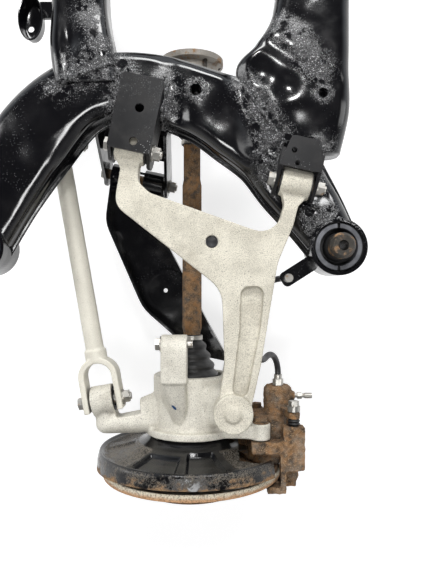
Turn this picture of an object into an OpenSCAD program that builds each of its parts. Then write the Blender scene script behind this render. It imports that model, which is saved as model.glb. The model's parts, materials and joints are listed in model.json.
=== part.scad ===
// Rear suspension subframe with its left corner: welded box-section frame, cast upper wishbone,
// wheel carrier, radius rod, pressed spring link, half shaft and disc brake.
// X runs towards the rear of the car, Y towards its right-hand side and Z up. The origin is
// the middle of the four body mounts, on the plane of their upper faces.

/* [Body mounts] */
// Distance between the front and rear body mounts
mount_spacing_x = 540; // [520:5:570]
// Distance between the left and right body mounts
mount_spacing_y = 800; // [780:5:840]
// Bolt hole through the inner sleeve of a body mount
mount_bolt_d = 15; // [12:0.5:18]
// Outside diameter of the bush pressed into a body mount
mount_bush_d = 76; // [70:1:78]
// Wall of the round housing that holds the bush
mount_housing_wall = 4.5; // [3:0.5:6]

/* [Frame] */
// Sheet thickness of the rails and cross members
sheet = 3; // [2:0.5:4]
// Width of the weld flange round a rail
flange_lip = 7; // [4:1:9]
// Thickness of the weld flange, two sheets together
flange_thick = 5; // [4:0.5:6]
// Plate thickness of the welded brackets
bracket_plate = 5; // [4:0.5:6]

/* [Upper arm] */
// Angle of the arm's pivot axis to the car's axis, in plan
pivot_tilt = 12; // [8:1:14]
// Distance between the arm's two inner pivots
arm_pivot_span = 245; // [235:1:255]
// Distance from the pivot axis to the ball joint
arm_length = 346; // [336:1:356]
// Distance of the ball joint behind the front pivot, along the pivot axis
arm_ball_offset = 225; // [215:1:232]
// Thickness of the arm casting
arm_thick = 22; // [18:1:24]
// Outside diameter of the arm's bush eyes
arm_eye_d = 42; // [40:1:44]
// Radius of the ball joint's housing
ball_boss_r = 29; // [27:1:31]
// Radius of the ball joint's ball
ball_r = 14; // [12:0.5:15]

/* [Bushes and bolts] */
// Diameter of the pivot bolts
bolt_d = 12; // [10:1:14]
// Outside diameter of the bushes' inner sleeves
sleeve_d = 18; // [17:0.5:20]
// Outside diameter of the rubber bushes
rubber_d = 34; // [32:1:35]
// Clear width between the walls of an arm bracket
bracket_gap = 52; // [50:1:54]

/* [Wheel end] */
// Height of the wheel axis below the body mounts
wheel_drop = 138; // [130:1:146]
// Diameter of the brake disc
disc_d = 292; // [280:2:300]
// Thickness of the brake disc's friction ring
disc_thick = 11; // [9:1:13]
// Pitch circle of the wheel bolts
wheel_pcd = 112; // [108:1:114]
// Diameter of the wheel bolts' threads
wheel_bolt_d = 13; // [12:0.5:14]
// Diameter of the half shaft's bar
shaft_d = 28; // [24:1:32]

/* [Rods and links] */
// Diameter of the radius rod's bar
rod_d = 30; // [26:1:33]
// Thickness of the radius rod's fork ears
fork_ear = 10; // [8:1:11]
// Wall height of the pressed spring link
link_height = 52; // [46:1:56]
// Sheet thickness of the spring link
link_sheet = 4; // [3:0.5:5]

/* [Hidden] */
$fn = 48;
mx = mount_spacing_x / 2;
my = mount_spacing_y / 2;
clearance = 0.05;
seat_gap = 0.3;

black_paint = [0.03, 0.03, 0.035];
cast_alloy = [0.72, 0.70, 0.65];
zinc = [0.62, 0.61, 0.58];
rubber_black = [0.05, 0.05, 0.05];
rust = [0.36, 0.20, 0.11];
bare_iron = [0.55, 0.50, 0.45];

// Corner frame: the left body mounts lie on its X axis, and Y runs inboard from them

// Arm pivots and ball joint
arm_z = -20;
front_pivot = [-36, 142, arm_z];
ball_z = arm_z;
axis_dir = [cos(pivot_tilt), -sin(pivot_tilt), 0];
out_dir = [-sin(pivot_tilt), -cos(pivot_tilt), 0];
rear_pivot = front_pivot + arm_pivot_span * axis_dir;
ball_plan = front_pivot + arm_ball_offset * axis_dir + arm_length * out_dir;
ball_centre = [ball_plan[0], ball_plan[1], ball_z];
arm_top = arm_thick / 2;

// Spring link pivots: the link is as long as the arm, so the wheel carrier stays upright
link_z = -240;
link_outer = [62, -240, link_z];
link_skew = 195;
link_inner = link_outer - arm_length * out_dir - link_skew * axis_dir;
link_half = 48;
link_fork_half = 31;

// Radius rod pivots
rod_inner = [-172, 182, -120];
rod_outer = [-97, -245, -120];
rod_vec = rod_outer - rod_inner;
rod_len = norm(rod_vec);
rod_angle = atan2(rod_vec[1], rod_vec[0]);
rod_eye_half = 18;
rod_gap = 44;
rod_bracket_half = 30;

// Wheel axis stations, along the corner frame's Y
wheel_x = 47;
wheel_z = -wheel_drop;
knuckle_in = -204;
knuckle_out = -335;
barrel_face = -300;
bearing_in = -272;
bearing_r = 40;
bell_r = 41;
bell_in = -212;
joint_centre_y = -240;
disc_in = -355;
disc_out = disc_in - disc_thick;
hub_face = -392;
hat_thick = 7;
hat_r = 86;
flange_r = 70;
shield_y = barrel_face;
shaft_end = 272;
tulip_in = shaft_end - 24;
tulip_out = shaft_end + 46;
inner_boot_small = shaft_end - 86;
// Middle of the spring link bracket's foot under the rail
link_foot_y = 200;
tulip_r = 44;

// Caliper stations
ear_x = 158;
ear_dz = 55;
ear_in = -274;
ear_out = -300;
ear_r = 15;
pad_half_z = 46;
pad_thick = 8;
piston_r = 24;
pin_dz = 61;
pin_x = 209;

// Eased outlines: each vertex is x, y and its corner radius
function corner_arc(a, b, c) =
    let(p = [b[0], b[1]], u = unit([a[0], a[1]] - p), v = unit([c[0], c[1]] - p),
        half = acos(max(-1, min(1, u * v))) / 2)
    b[2] <= 0 || half > 89 ? [p] :
    let(m = p + unit(u + v) * b[2] / sin(half), reach = b[2] / tan(half),
        s = p + u * reach - m, e = p + v * reach - m,
        a0 = atan2(s[1], s[0]), turn = (atan2(e[1], e[0]) - a0 + 540) % 360 - 180,
        steps = max(2, ceil(abs(turn) / 12)))
    [for (i = [0:steps]) m + b[2] * [cos(a0 + turn * i / steps), sin(a0 + turn * i / steps)]];
function unit(v) = v / norm(v);
function eased(pts) = let(n = len(pts))
    [for (i = [0:n - 1]) each corner_arc(pts[(i + n - 1) % n], pts[i], pts[(i + 1) % n])];

// A smooth curve through a list of stations of any dimension
function spline(p, t) =
    let(n = len(p) - 1, i = min(n - 1, floor(t)), f = t - i,
        a = p[max(0, i - 1)], b = p[i], c = p[i + 1], d = p[min(n, i + 2)])
    0.5 * (2 * b + (c - a) * f + (2 * a - 5 * b + 4 * c - d) * f * f
        + (3 * b - a - 3 * c + d) * f * f * f);

// A closed skin over rings of equally many points
module loft(rings) {
    n = len(rings[0]);
    k = len(rings);
    polyhedron(
        points = [for (r = rings) each r],
        faces = concat(
            [[for (j = [0:n - 1]) n - 1 - j]],
            [for (i = [0:k - 2], j = [0:n - 1])
                [i * n + j, i * n + (j + 1) % n, (i + 1) * n + (j + 1) % n, (i + 1) * n + j]],
            [[for (j = [0:n - 1]) (k - 1) * n + j]]));
}

// A bent round bar through a list of points
module sweep(points, r, sides = 10) {
    n = len(points);
    function heading(i) = unit(points[min(n - 1, i + 1)] - points[max(0, i - 1)]);
    loft([for (i = [0:n - 1]) let(h = heading(i), s = unit(cross(h, [0.1, 0.2, 1])), q = cross(h, s))
        [for (j = [0:sides - 1]) points[i] + r * (cos(360 * j / sides) * s - sin(360 * j / sides) * q)]]);
}

module at_left() { translate([0, -my, 0]) children(); }
module at_right() { mirror([0, 1, 0]) at_left() children(); }
// Local frame of a pivot: its X axis lies along the suspension's pivot axis
module at_pivot(p) { translate(p) rotate([0, 0, -pivot_tilt]) children(); }
module x_rod(r, x0, x1) { translate([x0, 0, 0]) rotate([0, 90, 0]) cylinder(r = r, h = x1 - x0); }
module y_rod(r, y0, y1) { translate([0, y0, 0]) rotate([-90, 0, 0]) cylinder(r = r, h = y1 - y0); }
module at_wheel() { translate([wheel_x, 0, wheel_z]) children(); }
// Turns a profile of radius and length about the wheel axis, length running inboard
module wheel_turn() { at_wheel() rotate([-90, 0, 0]) rotate_extrude($fn = 96) children(); }

// Side rails: plan stations x, y, then width, top and bottom
rail_stations = [
    [-mx, 0, 84, -34, -94], [-mx + 35, 90, 118, -30, -92], [-mx + 80, 160, 128, -18, -90],
    [-130, 218, 114, -9, -86], [-65, 240, 102, -8, -80], [0, 235, 106, -8, -78],
    [65, 214, 112, -9, -78], [120, 188, 128, -13, -82], [mx - 100, 152, 128, -27, -90],
    [mx - 65, 100, 116, -47, -96], [mx - 30, 50, 100, -40, -96], [mx, 0, 84, -34, -94],
];
rail_last = len(rail_stations) - 1;
rail_step = 0.5;
rail_draft = 6;
rail_top_r = 20;
rail_low_r = 14;
seam_rise = 24;
rail_crown = 2;
housing_r = mount_bush_d / 2 + mount_housing_wall;
housing_top = -30;
housing_low = -98;

// Half of a rail's section, from its bottom to its crown
function rail_half(w, top, low) =
    let(wl = w / 2 - flange_lip, wu = w / 2 - rail_draft, seam = low + seam_rise)
    concat(
        [for (a = [-90:30:0]) [wl - rail_low_r + rail_low_r * cos(a),
            low + rail_low_r + rail_low_r * sin(a)]],
        [[wl, seam], [w / 2, seam], [w / 2, seam + flange_thick], [wl + 1, seam + flange_thick]],
        [for (a = [0:18:90]) [wu - rail_top_r + rail_top_r * cos(a),
            top - rail_top_r + rail_top_r * sin(a)]]);
function rail_section(w, top, low) = let(h = rail_half(w, top, low), n = len(h))
    concat(h, [[0, top + rail_crown]], [for (i = [n - 1:-1:0]) [-h[i][0], h[i][1]]]);
// The hollow inside: a rounded box, one sheet in from the walls
function rail_hollow(w, top, low) =
    let(u = w / 2 - flange_lip - rail_draft / 2 - sheet, v0 = low + sheet, v1 = top - sheet, r = 12)
    [for (c = [[u, v0, -90], [u, v1, 0], [-u, v1, 90], [-u, v0, 180]], a = [0:30:90])
        [c[0] - sign(c[0]) * r + r * cos(c[2] + a), c[1] + (c[1] == v0 ? r : -r) + r * sin(c[2] + a)]];
function rail_ring(t, hollow) =
    let(s = spline(rail_stations, t), e = 0.02,
        d = unit([for (i = [0:1]) spline(rail_stations, min(rail_last, t + e))[i]
            - spline(rail_stations, max(0, t - e))[i]]),
        sec = hollow ? rail_hollow(s[2], s[3], s[4]) : rail_section(s[2], s[3], s[4]))
    [for (q = sec) [s[0] + q[0] * d[1], s[1] - q[0] * d[0], q[1]]];

// The rail's outside between two stations
module rail_span(t0, t1) {
    n = ceil((t1 - t0) / rail_step);
    loft([for (i = [0:n]) rail_ring(t0 + (t1 - t0) * i / n, false)]);
}
module rail_core() { loft([for (t = [0.72:rail_step:rail_last - 0.70]) rail_ring(t, true)]); }
module rail_solid() {
    rail_span(0, rail_last);
    for (x = [-mx, mx]) translate([x, 0, housing_low]) cylinder(r = housing_r,
        h = housing_top - housing_low);
}

// Drain, jig and access holes in the top of a rail: x, y, radius
rail_holes = [[58, 225, 8.5], [mx - 43, 53, 7]];
module side_rail() {
    color(black_paint) difference() {
        rail_solid();
        rail_core();
        for (x = [-mx, mx]) translate([x, 0, housing_low - 1]) cylinder(r = mount_bush_d / 2, h = 120);
        for (h = rail_holes) translate([h[0], h[1], -60]) cylinder(r = h[2], h = 80);
    }
}

// Cross members: stations y from the left mounts, then x, width, top and bottom
front_cross = [[236, -100, 96, 1, -70], [290, -108, 92, 3, -70], [340, -112, 82, 0, -70],
    [my, -113, 78, -2, -70]];
rear_cross = [
    [140, 214, 120, -26, -84], [200, 210, 150, -14, -80], [260, 200, 166, -8, -76],
    [295, 214, 138, -6, -76], [335, 226, 114, -6, -76], [my, 231, 104, -6, -76],
];
function box_ring(s, inset) =
    let(u = s[2] / 2 - inset, v1 = s[3] - inset, v0 = s[4] + inset, r = 20 - inset)
    [for (c = [[u, v1, 0], [-u, v1, 90], [-u, v0, 180], [u, v0, 270]], a = [0:22.5:90])
        [s[1] + c[0] - sign(c[0]) * r + r * cos(c[2] + a), s[0] - my,
            c[1] + (c[1] == v0 ? r : -r) + r * sin(c[2] + a)]];
module cross_tube(stations, inset) {
    last = len(stations) - 1;
    half = [for (t = [0:0.5:last]) spline(stations, t)];
    n = len(half);
    whole = concat(half, [for (i = [n - 2:-1:0]) [2 * my - half[i][0], half[i][1], half[i][2],
        half[i][3], half[i][4]]]);
    loft([for (s = whole) box_ring(s, inset)]);
}
module cross_member(stations, t0, t1) {
    difference() {
        cross_tube(stations, 0);
        cross_tube(stations, sheet);
        at_left() rail_span(t0, t1);
        at_right() rail_span(t0, t1);
    }
}
module front_cross_member() { color(black_paint) cross_member(front_cross, 2, 5.5); }
rear_hole = [243, 222];
module rear_cross_member() {
    color(black_paint) difference() {
        cross_member(rear_cross, 6, 10.5);
        for (side = [-1, 1]) translate([rear_hole[0], side * (my - rear_hole[1]), -40])
            cylinder(r = 7, h = 60);
    }
}

// Upper arm brackets: inverted channels welded over the rail, open towards the wheel
arm_bracket_top = arm_z + arm_eye_d / 2 + 2;
bracket_half = bracket_gap / 2 + bracket_plate;
bracket_hole_r = bolt_d / 2 + 0.2;
module arm_bracket(reach, nose, taper, low, holes) {
    difference() {
        union() {
            translate([0, 0, arm_bracket_top]) linear_extrude(bracket_plate)
                polygon(eased([[-bracket_half, -nose, 3], [bracket_half, -nose, 3],
                    [bracket_half - taper, reach, 6], [-bracket_half + taper, reach, 6]]));
            for (side = [-1, 1]) translate([side * (bracket_half - bracket_plate / 2), 0, arm_z])
                rotate([90, 0, 90]) linear_extrude(bracket_plate, center = true)
                    polygon(eased([[-22, low, 16], [reach - taper - 8, low, 4],
                        [reach - taper - 8, arm_bracket_top - arm_z, 0.5],
                            [-nose, arm_bracket_top - arm_z, 0.5],
                        [-22, -2, 8]]));
        }
        translate([0, 0, arm_z]) x_rod(bracket_hole_r, -bracket_half - 1, bracket_half + 1);
        for (h = holes) translate([h[0], h[1], 0]) cylinder(r = h[2], h = 40, center = true);
    }
}
module front_arm_bracket() {
    color(black_paint) difference() {
        at_pivot([front_pivot[0], front_pivot[1], 0]) arm_bracket(100, 8, 0, -32,
            [[4, 54, 6.5], [5, 6, 6]]);
        rail_span(3, 6);
    }
}
module rear_arm_bracket() {
    color(black_paint) difference() {
        at_pivot([rear_pivot[0], rear_pivot[1], 0]) arm_bracket(62, -17, 10, -34,
            [[-14, 41, 4], [-6, 24, 3.5]]);
        rail_span(7, 10.5);
        translate([0, my, 0]) cross_tube(rear_cross, 0);
    }
}

// Hanging plates that carry the spring link and the radius rod
module hanging_plate(top_from, top_to, top, boss_r, drop) {
    rotate([90, 0, 90]) linear_extrude(bracket_plate, center = true) union() {
        polygon([[-boss_r, -drop], [boss_r, -drop], [top_to, top], [top_from, top]]);
        translate([0, -drop]) circle(r = boss_r);
    }
}
module plate_pair(half, top_from, top_to, top, boss_r, drop) {
    difference() {
        for (side = [-1, 1]) translate([side * (half + bracket_plate / 2), 0, 0])
            hanging_plate(top_from, top_to, top, boss_r, drop);
        translate([0, 0, -drop]) x_rod(bracket_hole_r, -half - 20, half + 20);
    }
}
link_gap_half = link_half + 6;
link_foot = (link_foot_y - link_inner[1]) / cos(pivot_tilt);
link_top = -66;
link_plate_r = 22;
web_low = link_z + 52;
web_foot = link_foot + 15 - (link_top - web_low) * (link_foot + 16 - link_plate_r) / (link_top - link_z);
module link_bracket() {
    color(black_paint) difference() {
        at_pivot([link_inner[0], link_inner[1], 0]) {
            plate_pair(link_gap_half, link_foot - 16, link_foot + 16, link_top, link_plate_r, -link_z);
            // Web that joins the two plates along their inboard edges
            rotate([90, 0, 90]) linear_extrude(2 * link_gap_half + 1, center = true) polygon([
                [link_foot + 16, link_top], [web_foot, web_low],
                [web_foot - bracket_plate, web_low], [link_foot + 16 - bracket_plate, link_top]]);
        }
        rail_span(2.5, 6.5);
    }
}
module rod_bracket() {
    color(black_paint) difference() {
        at_pivot([rod_inner[0], rod_inner[1], 0]) plate_pair(rod_bracket_half, -24, 30, -70, 20,
            -rod_inner[2]);
        rail_span(0.5, 4);
    }
}

// Cable hanger: a cupped ear welded to the side of the front cross member
hanger_place = [-170, 300, -30];
hanger_reach = 60;
hanger_half = 22;
hanger_deep = 26;
module hanger_bracket() {
    wall = sheet;
    color(black_paint) at_left() difference() {
        translate(hanger_place) rotate([0, 0, 90]) difference() {
            linear_extrude(hanger_deep) polygon(eased([[0, -hanger_half, 14],
                [hanger_reach, -hanger_half, 2],
                [hanger_reach, hanger_half, 2], [0, hanger_half, 14]]));
            translate([0, 0, wall]) linear_extrude(hanger_deep) polygon(eased([
                [wall, -hanger_half + wall, 11], [hanger_reach + 5, -hanger_half + wall, 0],
                [hanger_reach + 5, hanger_half - wall, 0], [wall, hanger_half - wall, 11]]));
            translate([22, 4, -1]) cylinder(r = 5.5, h = 20);
        }
        translate([0, my, 0]) cross_tube(front_cross, 0);
    }
}

// Body mounts
mount_sleeve_d = 38;
mount_sleeve_h = 92;
rubber_top = -34;
rubber_low = -90;
module at_mounts() {
    for (x = [-mx, mx], y = [-my, my]) translate([x, y, 0]) children();
}
module mount_sleeves() {
    color(bare_iron) at_mounts() rotate_extrude() polygon([
        [mount_bolt_d / 2, 0], [mount_sleeve_d / 2 - 4, 0], [mount_sleeve_d / 2, -6],
        [mount_sleeve_d / 2, -mount_sleeve_h], [mount_bolt_d / 2, -mount_sleeve_h]]);
}
module mount_rubbers() {
    r0 = mount_sleeve_d / 2;
    r1 = mount_bush_d / 2;
    color(rubber_black) at_mounts() rotate_extrude() polygon([
        [r0, rubber_top + 12], [r0 + 2, rubber_top + 10], [r0 + 5, rubber_top - 6],
            [r0 + 9, rubber_top - 8],
        [r0 + 11, rubber_top + 2], [r1 + 3, rubber_top + 4], [r1 + 3, housing_top], [r1, housing_top],
        [r1, rubber_low], [r0, rubber_low]]);
}

// Hexagon bolts along X: head face at x0 and end of the thread at x1
module hex_bolt(d, x0, x1) {
    x_rod(d / 2, x0, x1);
    hex_head(d, x0);
}
module hex_head(d, x0) {
    flange = d * 0.18;
    x_rod(d * 1.02, x0 - flange, x0);
    translate([x0 - flange - d * 0.6, 0, 0]) rotate([0, 90, 0])
        cylinder(r = d * 0.87, h = d * 0.6 + 0.01, $fn = 6);
}
module hex_nut(d, x0) {
    difference() {
        union() {
            x_rod(d * 1.02, x0, x0 + d * 0.18);
            translate([x0 + d * 0.17, 0, 0]) rotate([0, 90, 0])
                cylinder(r = d * 0.87, h = d * 0.75, $fn = 6);
        }
        x_rod(d / 2, x0 - 1, x0 + d * 2);
    }
}
// Every bolted pivot on the frame: place and half the clamped width
frame_pivots = [
    [front_pivot, bracket_half], [rear_pivot, bracket_half],
    [link_inner, link_gap_half + bracket_plate], [rod_inner, rod_bracket_half + bracket_plate],
];
module pivot_bolts() {
    color(zinc) at_left() for (p = frame_pivots) at_pivot(p[0]) hex_bolt(bolt_d, -p[1], p[1] + 14);
}
module pivot_nuts() { color(zinc) at_left() for (p = frame_pivots) at_pivot(p[0]) hex_nut(bolt_d, p[1]); }
module tube_x(r, bore, half) {
    difference() {
        x_rod(r, -half, half);
        x_rod(bore, -half - 1, half + 1);
    }
}
module pivot_sleeves() {
    color(zinc) at_left() for (p = frame_pivots) at_pivot(p[0])
        tube_x(sleeve_d / 2, bolt_d / 2, p[1] - bracket_plate);
}
// A rubber bush that turns on its sleeve
module rubber_bush(half) { tube_x(rubber_d / 2, sleeve_d / 2 + clearance, half); }

// Upper arm casting, in the frame of its front pivot
eye_half = 22;
arm_outline = [
    [-17, 6, 0], [-17, -22, 4], [-9, -32, 8], [-7, -86, 26], [172, -arm_length + 172, 46],
    [arm_ball_offset - 27, -arm_length + 66, 60], [arm_ball_offset - 23, -arm_length, 4],
    [arm_ball_offset + 24, -arm_length, 4], [arm_ball_offset + 25, -arm_length + 77, 90],
    [arm_pivot_span - 2, -119, 70], [arm_pivot_span + 9, -60, 40], [arm_pivot_span + 10, -32, 6],
    [arm_pivot_span + 17, -22, 4], [arm_pivot_span + 17, 6, 0], [arm_pivot_span - 17, 6, 0],
    [arm_pivot_span - 17, -20, 4], [arm_pivot_span - 11, -34, 6], [arm_pivot_span - 13, -82, 30],
    [arm_pivot_span - 55, -78, 24], [40, -58, 24], [20, -46, 14], [17, -22, 3], [17, 6, 0],
];
channel_outline = [
    [arm_ball_offset - 27, -164, 12], [arm_ball_offset - 16, -222, 40],
    [arm_ball_offset - 7, -arm_length + 28, 8], [arm_ball_offset + 14, -arm_length + 28, 8],
    [arm_ball_offset + 13, -222, 40], [arm_ball_offset + 6, -156, 12],
];
pocket_outline = [
    [18, -70, 8], [100, -116, 10], [178, -158, 14], [arm_ball_offset - 10, -186, 8],
    [arm_ball_offset - 2, -130, 10], [arm_pivot_span - 26, -94, 12], [60, -72, 10],
];
channel_depth = 8;
pocket_depth = 13;
jig_hole = [143, -109, 9];
socket_r = ball_r + clearance * 3;
boss_top = ball_r + 5;
module arm_blank() {
    translate([0, 0, -arm_top]) linear_extrude(arm_thick) polygon(eased(arm_outline));
    for (x = [0, arm_pivot_span]) translate([x, 0, 0]) x_rod(arm_eye_d / 2, -eye_half, eye_half);
    translate([arm_ball_offset, -arm_length, -arm_top - 7]) cylinder(r = ball_boss_r,
        h = arm_top + 7 + boss_top);
}
module upper_arm() {
    color(cast_alloy) at_left() at_pivot(front_pivot) difference() {
        arm_blank();
        translate([0, 0, arm_top - channel_depth]) linear_extrude(20) polygon(eased(channel_outline));
        translate([0, 0, -arm_top - 1]) linear_extrude(pocket_depth + 1) polygon(eased(pocket_outline));
        translate([jig_hole[0], jig_hole[1], -40]) cylinder(r = jig_hole[2], h = 80);
        for (x = [0, arm_pivot_span]) translate([x, 0, 0]) x_rod(rubber_d / 2, -eye_half - 1,
            eye_half + 1);
        translate([arm_ball_offset, -arm_length, ball_z - arm_z]) {
            sphere(r = socket_r);
            cylinder(r = socket_r, h = 40);
            translate([0, 0, -30]) cylinder(r1 = 26, r2 = ball_r - 1, h = 22);
        }
    }
}
module upper_arm_bushes() {
    color(rubber_black) at_left() for (p = [front_pivot, rear_pivot]) at_pivot(p)
        rubber_bush(eye_half + 2);
}
module ball_joint_cap() {
    low = ball_r + seat_gap;
    color(cast_alloy) at_left() translate(ball_centre) rotate_extrude() polygon([
        [0, low], [socket_r, low], [socket_r, boss_top], [13, boss_top], [11, boss_top + 3],
            [0, boss_top + 5]]);
}

// Wheel carrier casting, built round the hub barrel
barrel_r = 64;
ball_post = [ball_centre[0], ball_centre[1], -62];
post_r = 24;
stud_r = 8;
shock_lug = [23, -148, -66];
lug_half = 20;
rod_eye_r = 25;
rod_bush_r = 19;
link_boss_r = 25;
module knuckle_forms() {
    at_wheel() y_rod(barrel_r, barrel_face, knuckle_in);
    at_wheel() y_rod(barrel_r + 12, barrel_face, barrel_face + 12);
    at_wheel() y_rod(bearing_r + 12, knuckle_out, barrel_face + 1);
    // Post that carries the ball joint
    hull() {
        translate(ball_post - [0, 0, 46]) cylinder(r = post_r, h = 47, $fn = 32);
        translate([wheel_x + 20, barrel_face + 28, wheel_z + 30]) sphere(r = 22, $fn = 20);
        translate([wheel_x + 12, -232, wheel_z + 36]) sphere(r = 18, $fn = 20);
    }
    // Shock absorber lug and the rib that runs down from it
    hull() {
        translate([shock_lug[0] - lug_half, shock_lug[1] - 8, shock_lug[2]])
            x_rod(23, 0, 2 * lug_half, $fn = 32);
        translate([shock_lug[0] - lug_half, shock_lug[1] - 60, shock_lug[2] - 12])
            cube([2 * lug_half, 20, 30]);
    }
    hull() {
        translate([shock_lug[0] - lug_half + 4, shock_lug[1] - 58, shock_lug[2] - 24])
            cube([2 * lug_half - 8, 14, 40]);
        translate([wheel_x - 16, barrel_face + 34, wheel_z + 52]) sphere(r = 14, $fn = 16);
        translate([wheel_x - 34, barrel_face + 50, wheel_z + 20]) sphere(r = 18, $fn = 16);
    }
    // Steering arm: straight out from the radius rod's eye, then across to the barrel
    translate(rod_outer + [4, 0, 0]) y_rod(17, -38, 0);
    hull() {
        translate(rod_outer + [4, -38, 0]) sphere(r = 17, $fn = 20);
        translate([wheel_x - 50, barrel_face + 24, wheel_z + 16]) sphere(r = 22, $fn = 20);
        translate([wheel_x - 40, barrel_face + 50, wheel_z + 8]) sphere(r = 24, $fn = 20);
    }
    translate(rod_outer) rotate([0, 0, rod_angle + 90]) x_rod(rod_eye_r, -rod_eye_half - 1,
        rod_eye_half + 1);
    // Boss for the spring link
    hull() {
        at_pivot(link_outer) x_rod(link_boss_r, -link_fork_half + 3, link_fork_half - 3, $fn = 32);
        translate([wheel_x, -250, wheel_z - 30]) sphere(r = 30, $fn = 20);
        translate([wheel_x, barrel_face + 30, wheel_z - 34]) sphere(r = 22, $fn = 20);
    }
    // Ears for the caliper carrier
    for (side = [-1, 1]) {
        translate([ear_x, 0, wheel_z + side * ear_dz]) y_rod(ear_r, ear_out, ear_in);
    }
    for (side = [-1, 1]) hull() {
        translate([ear_x - 4, ear_out + 2, wheel_z + side * ear_dz]) y_rod(10, 0, 18, $fn = 24);
        translate([wheel_x + 44, ear_out + 1, wheel_z + side * 42]) y_rod(13, 0, 28, $fn = 24);
    }
}
module knuckle() {
    color(cast_alloy) at_left() difference() {
        knuckle_forms();
        at_wheel() y_rod(bell_r + 7, bearing_in - 0.01, knuckle_in + 80);
        at_wheel() y_rod(bearing_r, knuckle_out - 1, bearing_in + 1);
        translate([ball_centre[0], ball_centre[1], -140]) cylinder(r = stud_r, h = 100);
        translate([ball_centre[0], ball_centre[1], ball_post[2]]) cylinder(r = post_r + 20, h = 40);
        translate(shock_lug) x_rod(bolt_d / 2 + 0.2, -60, 60);
        translate(rod_outer) rotate([0, 0, rod_angle + 90]) {
            x_rod(rod_bush_r, -rod_eye_half - 1, rod_eye_half + 1);
            for (side = [-1, 1]) translate([side * (rod_eye_half + 20), 0, 0])
                cube([40, 60, 120], center = true);
        }
        at_pivot(link_outer) x_rod(rubber_d / 2, -60, 60);
        at_pivot(link_outer) for (side = [-1, 1])
            translate([side * (link_fork_half + 16), 0, 0]) cube([40, 70, 90], center = true);
        for (side = [-1, 1]) translate([ear_x, 0, wheel_z + side * ear_dz])
            y_rod(bolt_d / 2 + 0.2, -400, -200);
    }
}
module ball_stud() {
    color(zinc) at_left() translate(ball_centre) rotate_extrude() difference() {
        union() {
            circle(r = ball_r);
            translate([0, -74]) square([stud_r, 66]);
            translate([0, ball_post[2] - ball_z]) square([stud_r + 4, 6]);
        }
        translate([-100, -200]) square([100, 400]);
    }
}
module knuckle_link_bush() { color(rubber_black) at_left() at_pivot(link_outer)
    rubber_bush(link_fork_half - 4); }
rod_ball_r = 14;
module knuckle_rod_bush() {
    color(rubber_black) at_left() translate(rod_outer) rotate([0, 0, rod_angle + 90]) difference() {
        x_rod(rod_bush_r, -rod_eye_half, rod_eye_half);
        rotate([0, 90, 0]) rotate_extrude() difference() {
            union() {
                circle(r = rod_ball_r + 1);
                translate([0, -40]) square([sleeve_d / 2 + 3, 80]);
            }
            translate([-100, -200]) square([100, 400]);
        }
    }
}
module shock_bolt() {
    color(zinc) at_left() translate(shock_lug) {
        hex_bolt(bolt_d, -lug_half, lug_half + 8);
    }
}

// Wheel bearing, hub and brake disc
module wheel_bearing() {
    color(zinc) at_left() wheel_turn() polygon([
        [26 + clearance, bearing_in], [bearing_r, bearing_in], [bearing_r, knuckle_out],
        [bearing_r + 12, knuckle_out], [bearing_r + 12, knuckle_out - 2],
            [26 + clearance, knuckle_out - 2]]);
}
module hub_flange() {
    color(rust) at_left() difference() {
        wheel_turn() polygon([
            [14, bearing_in + 4], [26, bearing_in + 4], [26, knuckle_out - 6], [36, knuckle_out - 14],
            [36, hub_face + 17 + hat_thick], [44, hub_face + 10 + hat_thick],
                [flange_r, hub_face + 10 + hat_thick],
            [flange_r, hub_face + hat_thick],
            [32, hub_face + hat_thick], [32, hub_face - 5], [14, hub_face - 5]]);
        for (i = [0:4]) at_wheel() rotate([0, 72 * i + 18, 0]) translate([wheel_pcd / 2, 0, 0])
            y_rod(wheel_bolt_d / 2, hub_face - 40, hub_face + 60);
    }
}
bolt_room = 0.5;
module brake_disc() {
    color(rust) at_left() difference() {
        wheel_turn() polygon([
            [hat_r - 8, disc_in - 2], [hat_r - 2, disc_in], [disc_d / 2 - 1, disc_in],
                [disc_d / 2, disc_in - 1],
            [disc_d / 2, disc_out + 1], [disc_d / 2 - 1, disc_out], [hat_r, disc_out],
                [hat_r, hub_face + 3],
            [hat_r - 3, hub_face], [32 + seat_gap, hub_face], [32 + seat_gap, hub_face + hat_thick],
            [hat_r - 8, hub_face + hat_thick]]);
        for (i = [0:4]) at_wheel() rotate([0, 72 * i + 18, 0]) translate([wheel_pcd / 2, 0, 0])
            y_rod(wheel_bolt_d / 2 + bolt_room, hub_face - 20, hub_face + 20);
    }
}
module axle_nut() {
    color(zinc) at_left() at_wheel() rotate([0, 0, -90]) difference() {
        translate([-hub_face + 5, 0, 0]) rotate([0, 90, 0]) cylinder(r = 21, h = 14, $fn = 6);
        x_rod(11, -hub_face, -hub_face + 40);
    }
}

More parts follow.
